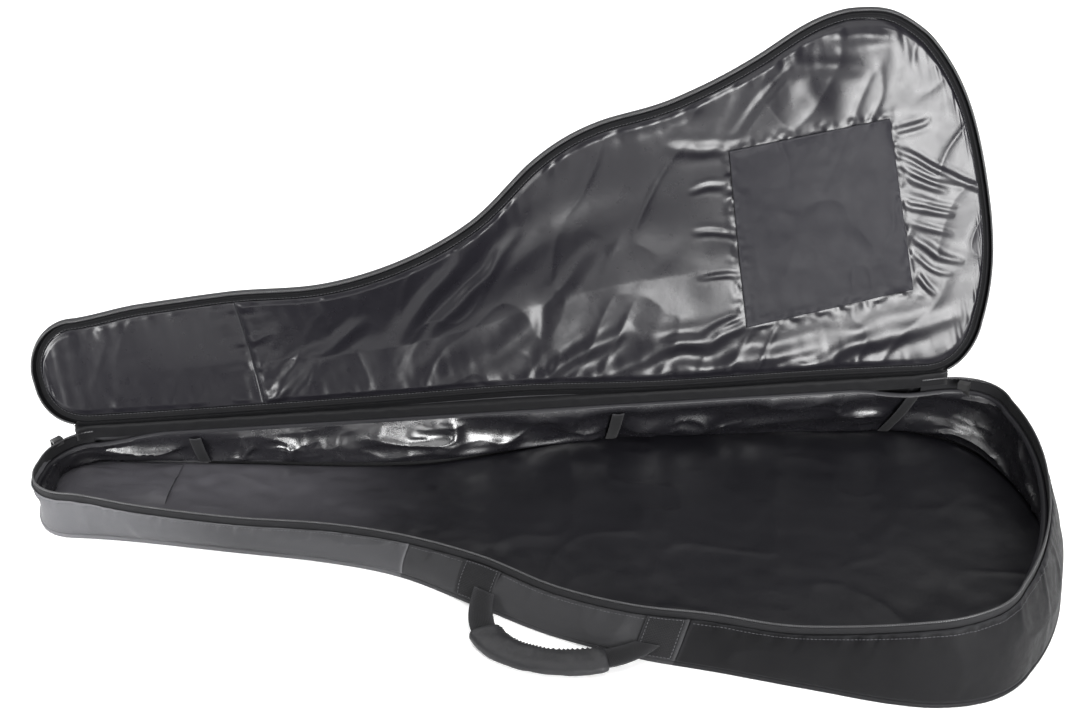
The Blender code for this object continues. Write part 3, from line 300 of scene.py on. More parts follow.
def lidAt(rungs, across, height=0.0):
    others = 2 * chainSteps - rungs
    near = pick(rims["lid"], rungs) + pick(rimIns["lid"], rungs) * bag["lidInset"]
    far = pick(rims["lid"], others) + pick(rimIns["lid"], others) * bag["lidInset"]
    v = np.asarray(across, float)[None, :, None]
    plan = near[:, None] * (1 - v) + far[:, None] * v
    level = rimPlane(plan[..., 0]) - sagAt(plan[..., 0]) * fallAt(v[..., 0])
    return np.concatenate([plan, (level + height)[..., None]], 2)


def runOf(line):
    # the way gone from the first point of a line to each of its points
    return np.concatenate([[0], np.cumsum(np.linalg.norm(np.diff(line, axis=0), axis=1))])


def atRuns(values, along, places):
    return np.stack([np.interp(places, along, values[:, i]) for i in range(3)], 1)


def evenly(k, along, spacing):
    return np.interp(np.linspace(0, along[-1], int(along[-1] / spacing) + 1), along, k)


def evenRungs(first, last, spacing):
    # rungs that lie this far apart, measured as the mean of both sides
    k = np.linspace(first, last, 2000)
    return evenly(k, (runOf(pick(rim, k)) + runOf(pick(rim, 2 * chainSteps - k))) / 2, spacing)


def evenColumns(first, last, spacing):
    k = np.linspace(first, last, 4000)
    return evenly(k, runOf(pick(rim, k)), spacing)


def lidRung(x):
    k = np.linspace(0, chainSteps, 1500)
    return float(np.interp(x, lidAt(k, [0.5])[:, 0, 0], k))


def nearColumn(x):
    return float(np.interp(x, back[: chainSteps * fine + 1, 0], np.arange(chainSteps * fine + 1) / fine))


def farColumn(x):
    places = back[chainSteps * fine: 2 * chainSteps * fine + 1, 0][::-1]
    return 2 * chainSteps - float(np.interp(x, places, np.arange(len(places)) / fine))


# Smooth random values for creases and wrinkles
def cellValue(i, j, k, seed):
    v = np.sin(i * 127.1 + j * 311.7 + k * 74.7 + seed * 53.3) * 43758.5453
    return v - np.floor(v)


def soft(points, size, seed=0):
    p = np.asarray(points) / size
    low = np.floor(p)
    f = p - low
    f = f * f * f * (f * (f * 6 - 15) + 10)
    total = 0
    for a in (0, 1):
        for b in (0, 1):
            for c in (0, 1):
                weight = abs(1 - a - f[..., 0]) * abs(1 - b - f[..., 1]) * abs(1 - c - f[..., 2])
                total = total + weight * cellValue(low[..., 0] + a, low[..., 1] + b, low[..., 2] + c, seed)
    return total * 2 - 1


def layered(points, size, seed=0, layers=3):
    return sum(soft(points, size / 2 ** n, seed + n) / 2 ** n for n in range(layers))


def creased(points, size, seed=0, sharp=2.5):
    # thin raised lines between smooth hollows, bent by a broader noise
    bend = np.stack([soft(points, size * 1.7, seed + s) for s in (11, 12, 13)], -1) * size * 0.5
    return (1 - abs(soft(points + bend, size, seed))) ** sharp


def eased(value, low, high):
    t = np.clip((value - low) / (high - low), 0, 1)
    return t * t * (3 - 2 * t)


# Materials
def newMaterial(name):
    material = bpy.data.materials.new(name)
    material.use_nodes = True
    tree = material.node_tree
    return material, tree, tree.nodes["Principled BSDF"]


def setInputs(tree, made, inputs):
    # each input is linked to another node's output or set to a value
    for socket, value in inputs.items():
        if isinstance(value, bpy.types.NodeSocket):
            tree.links.new(value, made.inputs[socket])
        elif value is not None:
            made.inputs[socket].default_value = (*value, 1) if isinstance(value, tuple) else value
    return made


def node(tree, kind, inputs):
    return setInputs(tree, tree.nodes.new(kind), inputs)


def mathNode(tree, kind, first, second):
    made = node(tree, "ShaderNodeMath", {0: first, 1: second})
    made.operation = kind
    return made.outputs[0]


def noiseNode(tree, vector, scale, detail=3.0, rough=0.55):
    return node(tree, "ShaderNodeTexNoise", {"Scale": scale, "Detail": detail, "Roughness": rough,
                                             "Vector": vector}).outputs["Fac"]


def threadNode(tree, vector, period, direction):
    made = node(tree, "ShaderNodeTexWave", {"Scale": 0.314159 / period, "Vector": vector})
    made.bands_direction = direction
    return made.outputs["Fac"]


def rangeNode(tree, value, low, high, fromLow=0.0, fromHigh=1.0):
    return node(tree, "ShaderNodeMapRange", {"From Min": fromLow, "From Max": fromHigh, "To Min": low,
                                             "To Max": high, "Value": value}).outputs["Result"]


def mixColour(tree, share, first, second):
    made = node(tree, "ShaderNodeMix", {"Factor": share, 6: first, 7: second})
    made.data_type = "RGBA"
    return made.outputs[2]


def bumpNode(tree, height, distance, before=None):
    return node(tree, "ShaderNodeBump", {"Distance": distance, "Strength": 1.0, "Height": height,
                                         "Normal": before}).outputs["Normal"]


def wornOver(tree, base, look):
    # edges that stand out are rubbed lighter
    bare = tree.nodes.new("ShaderNodeNewGeometry").outputs["Pointiness"]
    return mixColour(tree, rangeNode(tree, bare, 0.0, look["wear"], *look["wearAt"]), base, look["worn"])


def clothMaterial(name, look):
    # woven threads, cloudy shade, worn edges and fine crinkles; some cloths have painted light, a colour that grows
    # lighter towards the head
    material, tree, shader = newMaterial(name)
    where = tree.nodes.new("ShaderNodeTexCoord").outputs
    weave = mathNode(tree, "MULTIPLY", *(threadNode(tree, where["UV"], look["thread"] * mm, d) for d in "XY"))
    cloudy = noiseNode(tree, where["Object"], look["cloudScale"])
    crinkle = noiseNode(tree, where["Object"], look["crinkleScale"], 4.0, 0.6)
    base = mixColour(tree, cloudy, look["colour"], look["second"])
    # painted light: the colour is mixed towards a lighter one at the head end, along the object's x with a wavy edge
    if look["light"]:
        axes = node(tree, "ShaderNodeSeparateXYZ", {0: where["Object"]})
        wavy = mathNode(tree, "MULTIPLY", noiseNode(tree, where["Object"], 7.0), look["lightWave"])
        place = mathNode(tree, "ADD", axes.outputs["X"], wavy)
        base = mixColour(tree, rangeNode(tree, place, 0.0, 1.0, look["lightTo"], look["lightFrom"]), base,
                         look["light"])
    threads = mixColour(tree, rangeNode(tree, weave, 0.0, look["threadContrast"]), base, look["thread2"])
    crinkled = bumpNode(tree, crinkle, look["crinkleDeep"] * mm)
    setInputs(tree, shader, {
        "Base Color": wornOver(tree, threads, look),
        "Roughness": rangeNode(tree, crinkle, *look["roughness"], 0.3, 0.7),
        "Normal": bumpNode(tree, weave, look["threadDeep"] * mm, crinkled),
        "Sheen Weight": look["sheen"], "Sheen Roughness": look["sheenRough"],
        "Specular IOR Level": look["gloss"], "IOR": look["bend"]})
    return material


clothLook = dict(colour=(0.02, 0.02, 0.022), second=(0.027, 0.027, 0.03), thread2=(0.035, 0.035, 0.038),
                 worn=(0.07, 0.07, 0.075), thread=0.8, threadContrast=0.5, threadDeep=0.05, cloudScale=9.0,
                 crinkleScale=90.0, crinkleDeep=0.25, roughness=(0.5, 0.65), wear=0.3, wearAt=(0.51, 0.6),
                 sheen=0.0, sheenRough=0.5, gloss=0.2, bend=1.5, light=None, lightTo=0.03, lightFrom=-0.2,
                 lightWave=0.16)


def cloth(name, **changes):
    return clothMaterial(name, {**clothLook, **changes})


satinLining = cloth("satinLining", colour=(0.0075, 0.0071, 0.0093), second=(0.0105, 0.0099, 0.0128),
                    thread2=(0.0145, 0.0137, 0.0177), thread=0.45, threadContrast=0.25, threadDeep=0.006,
                    crinkleScale=60.0, crinkleDeep=0.2, roughness=(0.26, 0.34), gloss=0.33)
darkLook = dict(colour=(0.0052, 0.005, 0.0066), second=(0.0078, 0.0075, 0.0096), thread2=(0.011, 0.0105, 0.0132),
                thread=0.5, threadDeep=0.03, crinkleScale=45.0, crinkleDeep=0.4, roughness=(0.32, 0.42), gloss=0.25)
darkLining = cloth("darkLining", **darkLook)
# painted light: the floor lining's colour grows lighter towards the neck and head end
floorSatin = cloth("floorSatin", **darkLook, threadContrast=0.2, light=(0.066, 0.064, 0.072), lightTo=-0.04,
                   lightFrom=-0.25)
wallSatin = cloth("wallSatin", colour=(0.0055, 0.0053, 0.007), second=(0.0085, 0.0081, 0.0104),
                  thread2=(0.012, 0.0115, 0.0142), thread=0.5, threadDeep=0.03, crinkleScale=45.0,
                  crinkleDeep=0.5, roughness=(0.22, 0.32), gloss=1.0, bend=1.62)
patchCloth = cloth("patchCloth", colour=(0.012, 0.0117, 0.0146), second=(0.0165, 0.016, 0.0197),
                   thread2=(0.021, 0.0203, 0.0245), thread=0.6, threadDeep=0.04, crinkleScale=40.0,
                   crinkleDeep=0.4, roughness=(0.4, 0.5), gloss=0.1)
coarseLook = dict(thread=0.9, threadContrast=0.6, threadDeep=0.12, crinkleScale=50.0, crinkleDeep=0.6,
                  roughness=(0.48, 0.6))
# painted light: the grey cloth's colour grows lighter towards the head end, where a lamp lights it
greyPolyester = cloth("greyPolyester", **coarseLook, colour=(0.027, 0.027, 0.029), second=(0.036, 0.036, 0.039),
                      thread2=(0.05, 0.05, 0.054), wear=0.4, worn=(0.2, 0.2, 0.21), gloss=0.25,
                      light=(0.088, 0.088, 0.094), lightTo=-0.24, lightFrom=-0.42, lightWave=0.1)
# painted shade: a darker copy of the grey cloth, for the part of the near wall round the handle
paintedShadePolyester = cloth("paintedShadePolyester", **coarseLook, colour=(0.015, 0.015, 0.0165),
                        second=(0.022, 0.022, 0.0235), thread2=(0.031, 0.031, 0.033), gloss=0.2)
blackPolyester = cloth("blackPolyester", colour=(0.0042, 0.0042, 0.0048), second=(0.0062, 0.0062, 0.0069),
                       thread2=(0.0095, 0.0095, 0.0105), thread=0.9, threadDeep=0.12, roughness=(0.45, 0.58),
                       gloss=0.1)
bandCloth = cloth("bandCloth", colour=(0.005, 0.005, 0.0057), second=(0.0078, 0.0078, 0.0085),
                  thread2=(0.014, 0.014, 0.015), thread=1.0, threadDeep=0.15, worn=(0.08, 0.08, 0.08), gloss=0.08)
zipTapeCloth = cloth("zipTapeCloth", colour=(0.009, 0.009, 0.01), second=(0.013, 0.013, 0.014),
                     thread2=(0.021, 0.021, 0.023), thread=0.7, threadDeep=0.1, roughness=(0.6, 0.72),
                     sheen=0.05, gloss=0.15)
webbingCloth = cloth("webbingCloth", colour=(0.0065, 0.0065, 0.0073), second=(0.0095, 0.0095, 0.0103),
                     thread2=(0.016, 0.016, 0.0175), thread=1.6, threadContrast=0.7, threadDeep=0.3, gloss=0.15)
gripCloth = cloth("gripCloth", colour=(0.0105, 0.0105, 0.0117), second=(0.016, 0.016, 0.0173), thread=0.9,
                  crinkleDeep=0.8, roughness=(0.4, 0.52), gloss=0.25)
coilPlastic = cloth("coilPlastic", colour=(0.016, 0.016, 0.017), second=(0.022, 0.022, 0.023),
                    thread2=(0.022, 0.022, 0.023), thread=1.1, threadDeep=0.05, roughness=(0.28, 0.38),
                    gloss=0.5)
threadCloth = cloth("threadCloth", colour=(0.05, 0.05, 0.055), second=(0.09, 0.09, 0.097), thread=0.3,
                    roughness=(0.4, 0.5))


def hardMaterial(name, look):
    material, tree, shader = newMaterial(name)
    where = tree.nodes.new("ShaderNodeTexCoord").outputs["Object"]
    cloudy = noiseNode(tree, where, look["grain"])
    base = mixColour(tree, cloudy, look["colour"], look["second"])
    setInputs(tree, shader, {
        "Base Color": wornOver(tree, base, look), "Roughness": rangeNode(tree, cloudy, *look["roughness"]),
        "Normal": bumpNode(tree, cloudy, 0.02 * mm), "Metallic": look["metallic"]})
    return material


hardLook = dict(colour=(0.02, 0.02, 0.021), second=(0.035, 0.035, 0.037), worn=(0.2, 0.2, 0.2), wear=0.6,
                wearAt=(0.52, 0.62), grain=400.0, roughness=(0.3, 0.42), metallic=0.85)
blackMetal = hardMaterial("blackMetal", hardLook)
bucklePlastic = hardMaterial("bucklePlastic", dict(
    hardLook, colour=(0.014, 0.014, 0.015), second=(0.022, 0.022, 0.023), worn=(0.06, 0.06, 0.06), wear=0.4,
    grain=300.0, roughness=(0.35, 0.48), metallic=0.0))
print("materials made")


# Making pieces
def toFrame(points, body):
    m = np.array(places[body])
    return points @ m[:3, :3].T + m[:3, 3]


def snakeCase(name):
    return re.sub("([A-Z])", r"_\1", name).lower()


def gridPiece(name, points, body, material, loopRows=False, loopCols=False, caps=False, flip=False, thick=0.0,
              also=(), blended=False):
    # a grid of points as a piece that stands for the CAD node of its own name, and for others named in also
    rows, cols = points.shape[:2]
    index = np.arange(rows * cols).reshape(rows, cols)
    laid = points
    if loopRows:
        index = np.vstack([index, index[:1]])
        laid = np.vstack([laid, laid[:1]])
    if loopCols:
        index = np.hstack([index, index[:, :1]])
        laid = np.concatenate([laid, laid[:, :1]], 1)
    u = np.linalg.norm(np.diff(laid, axis=0), axis=2).mean(1)
    u = np.concatenate([[0], np.cumsum(u)])[:, None] + np.zeros(index.shape)
    v = np.cumsum(np.linalg.norm(np.diff(laid, axis=1), axis=2), 1)
    v = np.concatenate([np.zeros((len(v), 1)), v], 1)
    quads = np.stack([index[:-1, :-1], index[1:, :-1], index[1:, 1:], index[:-1, 1:]], -1).reshape(-1, 4)
    uv = np.stack([u, v], -1)
    corners = np.stack([uv[:-1, :-1], uv[1:, :-1], uv[1:, 1:], uv[:-1, 1:]], 2).reshape(-1, 4, 2)
    if flip:
        quads, corners = quads[:, ::-1], corners[:, ::-1]
    faces = quads.tolist()
    corners = corners.reshape(-1, 2)
    if caps:
        turn = -1 if flip else 1
        faces += [index[0, :cols].tolist()[::turn], index[-1, :cols].tolist()[::-turn]]
        corners = np.vstack([corners, np.zeros((2 * cols, 2))])
    replaced = () if blended else (snakeCase(name), *also)
    return meshPiece(name, toFrame(points.reshape(-1, 3), body), faces, corners, body, material, thick, replaced,
                     not blended)


def meshPiece(name, vertices, faces, corners, body, material, thick=0.0, replaced=(), ride=True):
    mesh = bpy.data.meshes.new(name)
    mesh.from_pydata(np.asarray(vertices).tolist(), [], faces)
    layer = mesh.uv_layers.new(name="UVMap")
    layer.data.foreach_set("uv", np.asarray(corners, dtype=np.float32).ravel())
    mesh.materials.append(material)
    mesh.shade_smooth()
    mesh.set_sharp_from_angle(angle=math.radians(60))
    piece = bpy.data.objects.new(name, mesh)
    bpy.context.scene.collection.objects.link(piece)
    if thick:
        shell = piece.modifiers.new("thick", "SOLIDIFY")
        shell.thickness = thick
        shell.offset = -1
    if replaced:
        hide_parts(*replaced)
    if ride:
        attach(piece, body)
    return piece


def padded(name, top, bottom, body, material, also=(), puff=None):
    # both faces of a pad as one grid that closes round its sides
    piece = gridPiece(name, np.concatenate([top, bottom[:, ::-1]], 1), body, material, loopCols=True, caps=True,
                      flip=True, also=also)
    if puff:
        across = top.shape[1]
        places = np.arange(len(piece.data.vertices)) % (across + bottom.shape[1])
        puffed(piece, puff, places >= across - 1)
    return piece


def ringAround(line, side, section):
    # a cross-section (across, up) swept along a line of points, with side the way across at each point
    ahead = np.gradient(line, axis=0)
    ahead /= np.linalg.norm(ahead, axis=1)[:, None]
    up = np.cross(side, ahead)
    up /= np.linalg.norm(up, axis=1)[:, None]
    side = np.cross(ahead, up)
    section = np.asarray(section)
    if section.ndim == 2:
        section = section[None]
    return line[:, None] + side[:, None] * section[..., 0:1] + up[:, None] * section[..., 1:2]


def roundSection(radius, sides=10, flat=1.0):
    a = np.linspace(0, 2 * math.pi, sides, endpoint=False)
    return np.stack([radius * np.cos(a), radius * flat * np.sin(a)], 1)


def stitchLine(name, line, normal, body, look):
    # many short threads lying along a line, each a small closed grain
    along = runOf(line)
    starts = np.arange(look["pitch"] * mm / 2, along[-1], look["pitch"] * mm)
    centre = atRuns(line, along, starts)
    ahead = atRuns(line, along, starts + 0.5 * mm) - centre
    ahead /= np.maximum(np.linalg.norm(ahead, axis=1), 1e-9)[:, None]
    up = atRuns(np.broadcast_to(normal, line.shape), along, starts)
    side = np.cross(up, ahead)
    sides = 6
    a = np.linspace(0, 2 * math.pi, sides, endpoint=False)
    half, thread = look["length"] * mm / 2, look["thread"] * mm
    shape = [(-half, 0.25), (-half * 0.7, 1), (half * 0.7, 1), (half, 0.25)]
    local = np.array([(x, r * thread * math.cos(t), r * thread * math.sin(t)) for x, r in shape for t in a])
    made = (centre[:, None] + ahead[:, None] * local[None, :, 0:1] + side[:, None] * local[None, :, 1:2]
            + up[:, None] * local[None, :, 2:3])
    one = [[(r + a) * sides + (i + b) % sides for a, b in ((0, 0), (0, 1), (1, 1), (1, 0))]
           for r in range(len(shape) - 1) for i in range(sides)]
    one += [list(range(sides))[::-1], list(range((len(shape) - 1) * sides, len(local)))]
    faces = [[v + n * len(local) for v in f] for n in range(len(made)) for f in one]
    corners = np.zeros((sum(len(f) for f in faces), 2))
    return meshPiece(name, toFrame(made.reshape(-1, 3), body), faces, corners, body, threadCloth)


def ringPlaces(first, last, count, low, high, countOver):
    # once round a rectangle of a grid: along it, over, back along it and back over
    run, over = np.linspace(first, last, count), np.linspace(low, high, countOver)
    return (np.concatenate([run, over * 0 + last, run[::-1], over * 0 + first]),
            np.concatenate([run * 0 + low, over, run * 0 + high, over[::-1]]))


def onGrid(points, i, j):
    # places on a grid of points at any rows i and columns j, with the way out of it
    i, j = np.broadcast_arrays(np.asarray(i, float), np.asarray(j, float))
    a = np.minimum(i.astype(int), points.shape[0] - 2)
    b = np.minimum(j.astype(int), points.shape[1] - 2)
    u, v = (i - a)[..., None], (j - b)[..., None]
    corner = points[a, b], points[a + 1, b], points[a, b + 1], points[a + 1, b + 1]
    place = (corner[0] * (1 - u) + corner[1] * u) * (1 - v) + (corner[2] * (1 - u) + corner[3] * u) * v
    normal = np.cross(corner[1] - corner[0], corner[2] - corner[0])
    return place, normal / np.linalg.norm(normal, axis=-1)[..., None]


def puffed(piece, look, held):
    # cloth simulation: the air in a pad swells it, while the held points stay and no point moves past the cap
    mesh = piece.data
    before = np.array([v.co for v in mesh.vertices])
    group = piece.vertex_groups.new(name="held")
    group.add(np.nonzero(held)[0].tolist(), 1.0, "REPLACE")
    sim = piece.modifiers.new("cloth", "CLOTH")
    settings = sim.settings
    settings.quality = 5
    settings.mass = 0.15
    settings.tension_stiffness = settings.compression_stiffness = look["stiff"]
    settings.bending_stiffness = look["bend"]
    settings.use_pressure = True
    settings.uniform_pressure_force = look["pressure"]
    settings.vertex_group_mass = "held"
    settings.effector_weights.gravity = 0
    scene = bpy.context.scene
    for frameNumber in range(1, look["frames"] + 1):
        scene.frame_set(frameNumber)
    shown = piece.evaluated_get(bpy.context.evaluated_depsgraph_get())
    move = np.array([v.co for v in shown.to_mesh().vertices]) - before
    shown.to_mesh_clear()
    length = np.linalg.norm(move, axis=1)
    cap = look["cap"] * mm
    move *= (np.tanh(length / cap) * cap / np.maximum(length, 1e-9))[:, None]
    mesh.vertices.foreach_set("co", (before + move).astype(np.float32).ravel())
    mesh.update()
    piece.modifiers.remove(sim)
    piece.vertex_groups.remove(group)
    scene.frame_set(1)
    print(f"{piece.name} swelled by up to {np.linalg.norm(move, axis=1).max() / mm:.1f} mm")


def edgeDistance(points, ends=False):
    # mm from the long edges of a grid, and where it has ends, from these too
    distance = np.minimum(*(np.linalg.norm(points - side, axis=2) for side in (points[:, :1], points[:, -1:])))
    if ends:
        distance = np.minimum(distance, np.minimum(*(abs(points - end).max(2) for end in (points[:1], points[-1:]))))
    return distance / mm


# Lid lining: folds mapped from its corners, x and y of both ends, half width, height and bend, all in mm
lidFolds = [
    (-26, -66, -141, 28, 9, 4.0, 6), (7, -55, -99, 21, 8, 3.5, -5), (88, -29, 3, 60, 12, -3.0, 8),
    (102, 76, -1, 109, 8, 3.0, 5), (179, 100, 40, 111, 9, 2.5, -4), (-230, 14, -283, 59, 7, 2.5, 4),
    (-166, -5, -226, 23, 7, 2.5, -3), (127, 96, 232, 95, 8, 2.5, 5), (120, 128, 330, 131, 8, 3.0, 6),
    (233, 164, 448, 139, 9, 3.0, -7), (378, -194, 443, -176, 7, 2.0, 4), (321, -169, 409, -148, 8, 2.0, -4),
    (356, -158, 347, -108, 14, 2.0, 3), (193, -114, 250, -101, 6, 1.6, 3), (-293, 64, -232, 22, 6, 2.2, 4),
    (429, -80, 464, -82, 3.5, 1.3, 1), (429, -60, 514, 9, 3.5, 1.6, 5), (429, -46, 480, -8, 3, 1.1, 4),
    (429, -33, 467, -2, 3.5, 1.5, 3), (428, -12, 475, 18, 3, 1.0, 4), (428, 0, 473, 27, 3.5, 1.6, 3),
    (427, 20, 470, 48, 3, 1.1, 3), (425, 38, 476, 73, 3.5, 1.5, 4), (423, 58, 462, 84, 3, 1.0, 3),
    (422, 78, 443, 105, 3.5, 1.3, 2), (330, -170, 262, -120, 4, 1.2, 3), (240, -60, 205, -66, 3, 1.2, 1),
    (238, -10, 196, -22, 3, 1.3, 2), (236, 40, 200, 34, 3, 1.2, 1), (234, 80, 190, 92, 4, 1.4, 2),
    (233, -153, 81, -155, 9, 2.0, 4), (151, -74, -53, 2, 15, 2.5, 10), (42, 24, -153, 94, 14, 2.5, -10),
]
patchCorners = np.array([(250, -98.5), (425, -92), (419, 96), (234, 97)]) * mm
liningLook = dict(height=9.0, thick=0.8, spacing=2.4, wave=1.6, crease=1.3, billow=3.0, pucker=1.4,
                  puckerDeep=16.0, seamX=-297, seamGap=0.15 / 1.05, headShare=0.35)
downInLid = np.array([0, 0, -1.0])  # out of the lid's lining, which faces down when the lid is closed


def foldsAt(plan, folds, seed=3):
    # plan is in mm; each fold is a soft ridge with a hollow along both of its sides
    wander = np.stack([soft(flatPlaces(plan), 38, seed + s) for s in (0, 1)], -1) * 5
    p = plan + wander
    total = np.zeros(plan.shape[:2])
    for x0, y0, x1, y1, wide, high, bend in folds:
        run = np.array([x1 - x0, y1 - y0], float)
        length = np.linalg.norm(run)
        run /= length
        rel = p - (x0, y0)
        t = (rel @ run) / length
        off = rel @ np.array([-run[1], run[0]]) - bend * np.sin(np.clip(t, 0, 1) * math.pi)
        fade = np.sin(np.clip((t + 0.12) / 1.24, 0, 1) * math.pi) ** 0.8
        s = off / wide
        total += high * fade * (np.exp(-s * s) - 0.3 * np.exp(-(abs(s) - 1.8) ** 2))
    return total


def flatPlaces(plan):
    return np.dstack([plan, plan[..., :1] * 0])


def insidePatch(plan):
    # distance to the patch's edge, more than 0 inside it; plan in mm
    corners = patchCorners / mm
    share = np.full(plan.shape[:2], 1e9)
    for a, b in zip(corners, np.roll(corners, -1, 0)):
        run = (b - a) / np.linalg.norm(b - a)
        share = np.minimum(share, (plan - a) @ np.array([-run[1], run[0]]))
    return share


def liningRise(points):
    # how far the lid lining stands into the bag, in metres
    plan = points[..., :2] / mm
    flat = flatPlaces(plan)
    x, y = plan[..., 0], plan[..., 1]
    rise = foldsAt(plan, lidFolds) + liningLook["wave"] * layered(flat, 85, 5, 2)
    diagonal = np.stack([x * 0.55 - y * 0.8, (x * 0.8 + y * 0.55) * 2.6, x * 0], -1)
    rise += liningLook["crease"] * (creased(diagonal, 75, 8, 3.0) - 0.3)
    inside = insidePatch(plan)
    rise *= 1 - 0.75 * eased(inside, -4, 8)  # calm under the patch, ruffled round it
    rise += np.exp(-(inside / 9) ** 2) * np.maximum(0, -np.sign(inside)) * 1.2 * soft(flat, 7, 21)
    rise += liningLook["billow"]
    least = 0.8
    return np.where(rise < least, least * np.exp((rise - least) / least), rise) * mm


def makeLidLining():
    look = liningLook
    seam, seamGap = lidRung(look["seamX"] * mm), look["seamGap"] * mm * chainSteps
    for name, first, last, share in (("lidLining", seam + seamGap, chainSteps, 1),
                                     ("lidHeadLining", 0.02, seam - seamGap, look["headShare"])):
        rungs = evenRungs(first, last, look["spacing"] * mm)
        wide = np.linalg.norm(pick(rim, rungs) - pick(rim, 2 * chainSteps - rungs), axis=1).max()
        across = np.linspace(0, 1, int(wide / (look["spacing"] * mm)))
        points = lidAt(rungs, across, look["height"] * mm)
        edge = edgeDistance(points)
        along = runOf(points[:, 0]) / mm
        fromSeam = abs(points[..., 0] - points[0 if name == "lidLining" else -1, :, 0][None]) / mm
        line = np.stack([along[:, None] + edge * 0, edge * 0.25, edge * 0], -1)
        seamLine = np.stack([points[..., 1] / mm, fromSeam * 0.3, edge * 0], -1)
        pucker = soft(line, 9, 31) * np.exp(-edge / look["puckerDeep"])
        pucker += soft(seamLine, 8, 33) * np.exp(-fromSeam / 14)
        lifted = points.copy()
        lifted[..., 2] -= (liningRise(points) * share + look["pucker"] * mm * pucker) \
            * eased(np.minimum(edge, fromSeam), 0, 7)
        piece = gridPiece(name, lifted, "lid", satinLining, thick=look["thick"] * mm)


def makePatch():
    look = dict(thick=1.2, gap=2.1, ruffle=0.9, steps=110, stitchIn=(2.5, 6.0),
                stitch=dict(pitch=3.6, length=2.5, thread=0.35))
    s = np.linspace(0, 1, look["steps"])
    a, b, c, d = patchCorners
    plan = (a + (b - a) * s[:, None])[:, None] * (1 - s)[None, :, None] \
        + (d + (c - d) * s[:, None])[:, None] * s[None, :, None]
    level = rimPlane(plan[..., 0]) - sagAt(plan[..., 0]) * acrossFall(plan)
    points = np.dstack([plan, level + liningLook["height"] * mm])
    edge = insidePatch(plan / mm)
    flat = flatPlaces(plan / mm)
    bumps = 0.9 * layered(flat, 45, 41, 3) + 0.7 * creased(flat, 40, 44, 3.5)
    bumps = bumps * eased(edge, 0, 12) + look["ruffle"] * soft(flat, 6, 47) * np.exp(-edge / 6)
    points[..., 2] -= liningRise(points) + (look["gap"] + bumps) * mm
    piece = gridPiece("bridgePatch", points, "lid", patchCloth, thick=look["thick"] * mm)
    last = look["steps"] - 1
    for row, inset in enumerate(look["stitchIn"]):
        k = inset * mm / np.linalg.norm(b - a) * last
        line, _ = onGrid(points, *ringPlaces(k, last - k, 200, k, last - k, 200))
        stitchLine(f"patchStitches{row + 1}", line - (0, 0, 0.2 * mm), downInLid, "lid", look["stitch"])


def acrossFall(plan):
    # the lid's sag at a place, by its share of the way from the zip side to the hinge
    grid = lidAt(np.linspace(0, chainSteps, 500), [0.0, 1.0])
    near, far = (np.interp(plan[..., 0], grid[:, i, 0], grid[:, i, 1]) for i in (0, 1))
    return fallAt((plan[..., 1] - near) / (far - near))


makeLidLining()
makePatch()
print("lid lining and patch made")


def loopSweep(name, body, material, columns, section, closed=False):
    # a section of (inset, height) pairs in mm carried round the rim
    rings = np.stack([rimAt(columns, inset * mm, height * mm, body) for inset, height in section], 1)
    gridPiece(name, rings, body, material, loopRows=closed, loopCols=True, caps=not closed)


def coilPiece(name, line, side, body):
    look = dict(radius=1.3, pitch=2.2, rib=0.22)
    along = runOf(line)
    even = np.arange(0, along[-1], look["pitch"] * mm / 5)
    radius = look["radius"] * (1 - look["rib"] * (0.5 + 0.5 * np.cos(2 * math.pi * even / (look["pitch"] * mm))))
    path = atRuns(line, along, even)
    rings = ringAround(path, np.broadcast_to(side, path.shape),
                       roundSection(1.0, 8)[None] * radius[:, None, None] * mm)
    gridPiece(name, rings, body, coilPlastic, loopCols=True, caps=True)


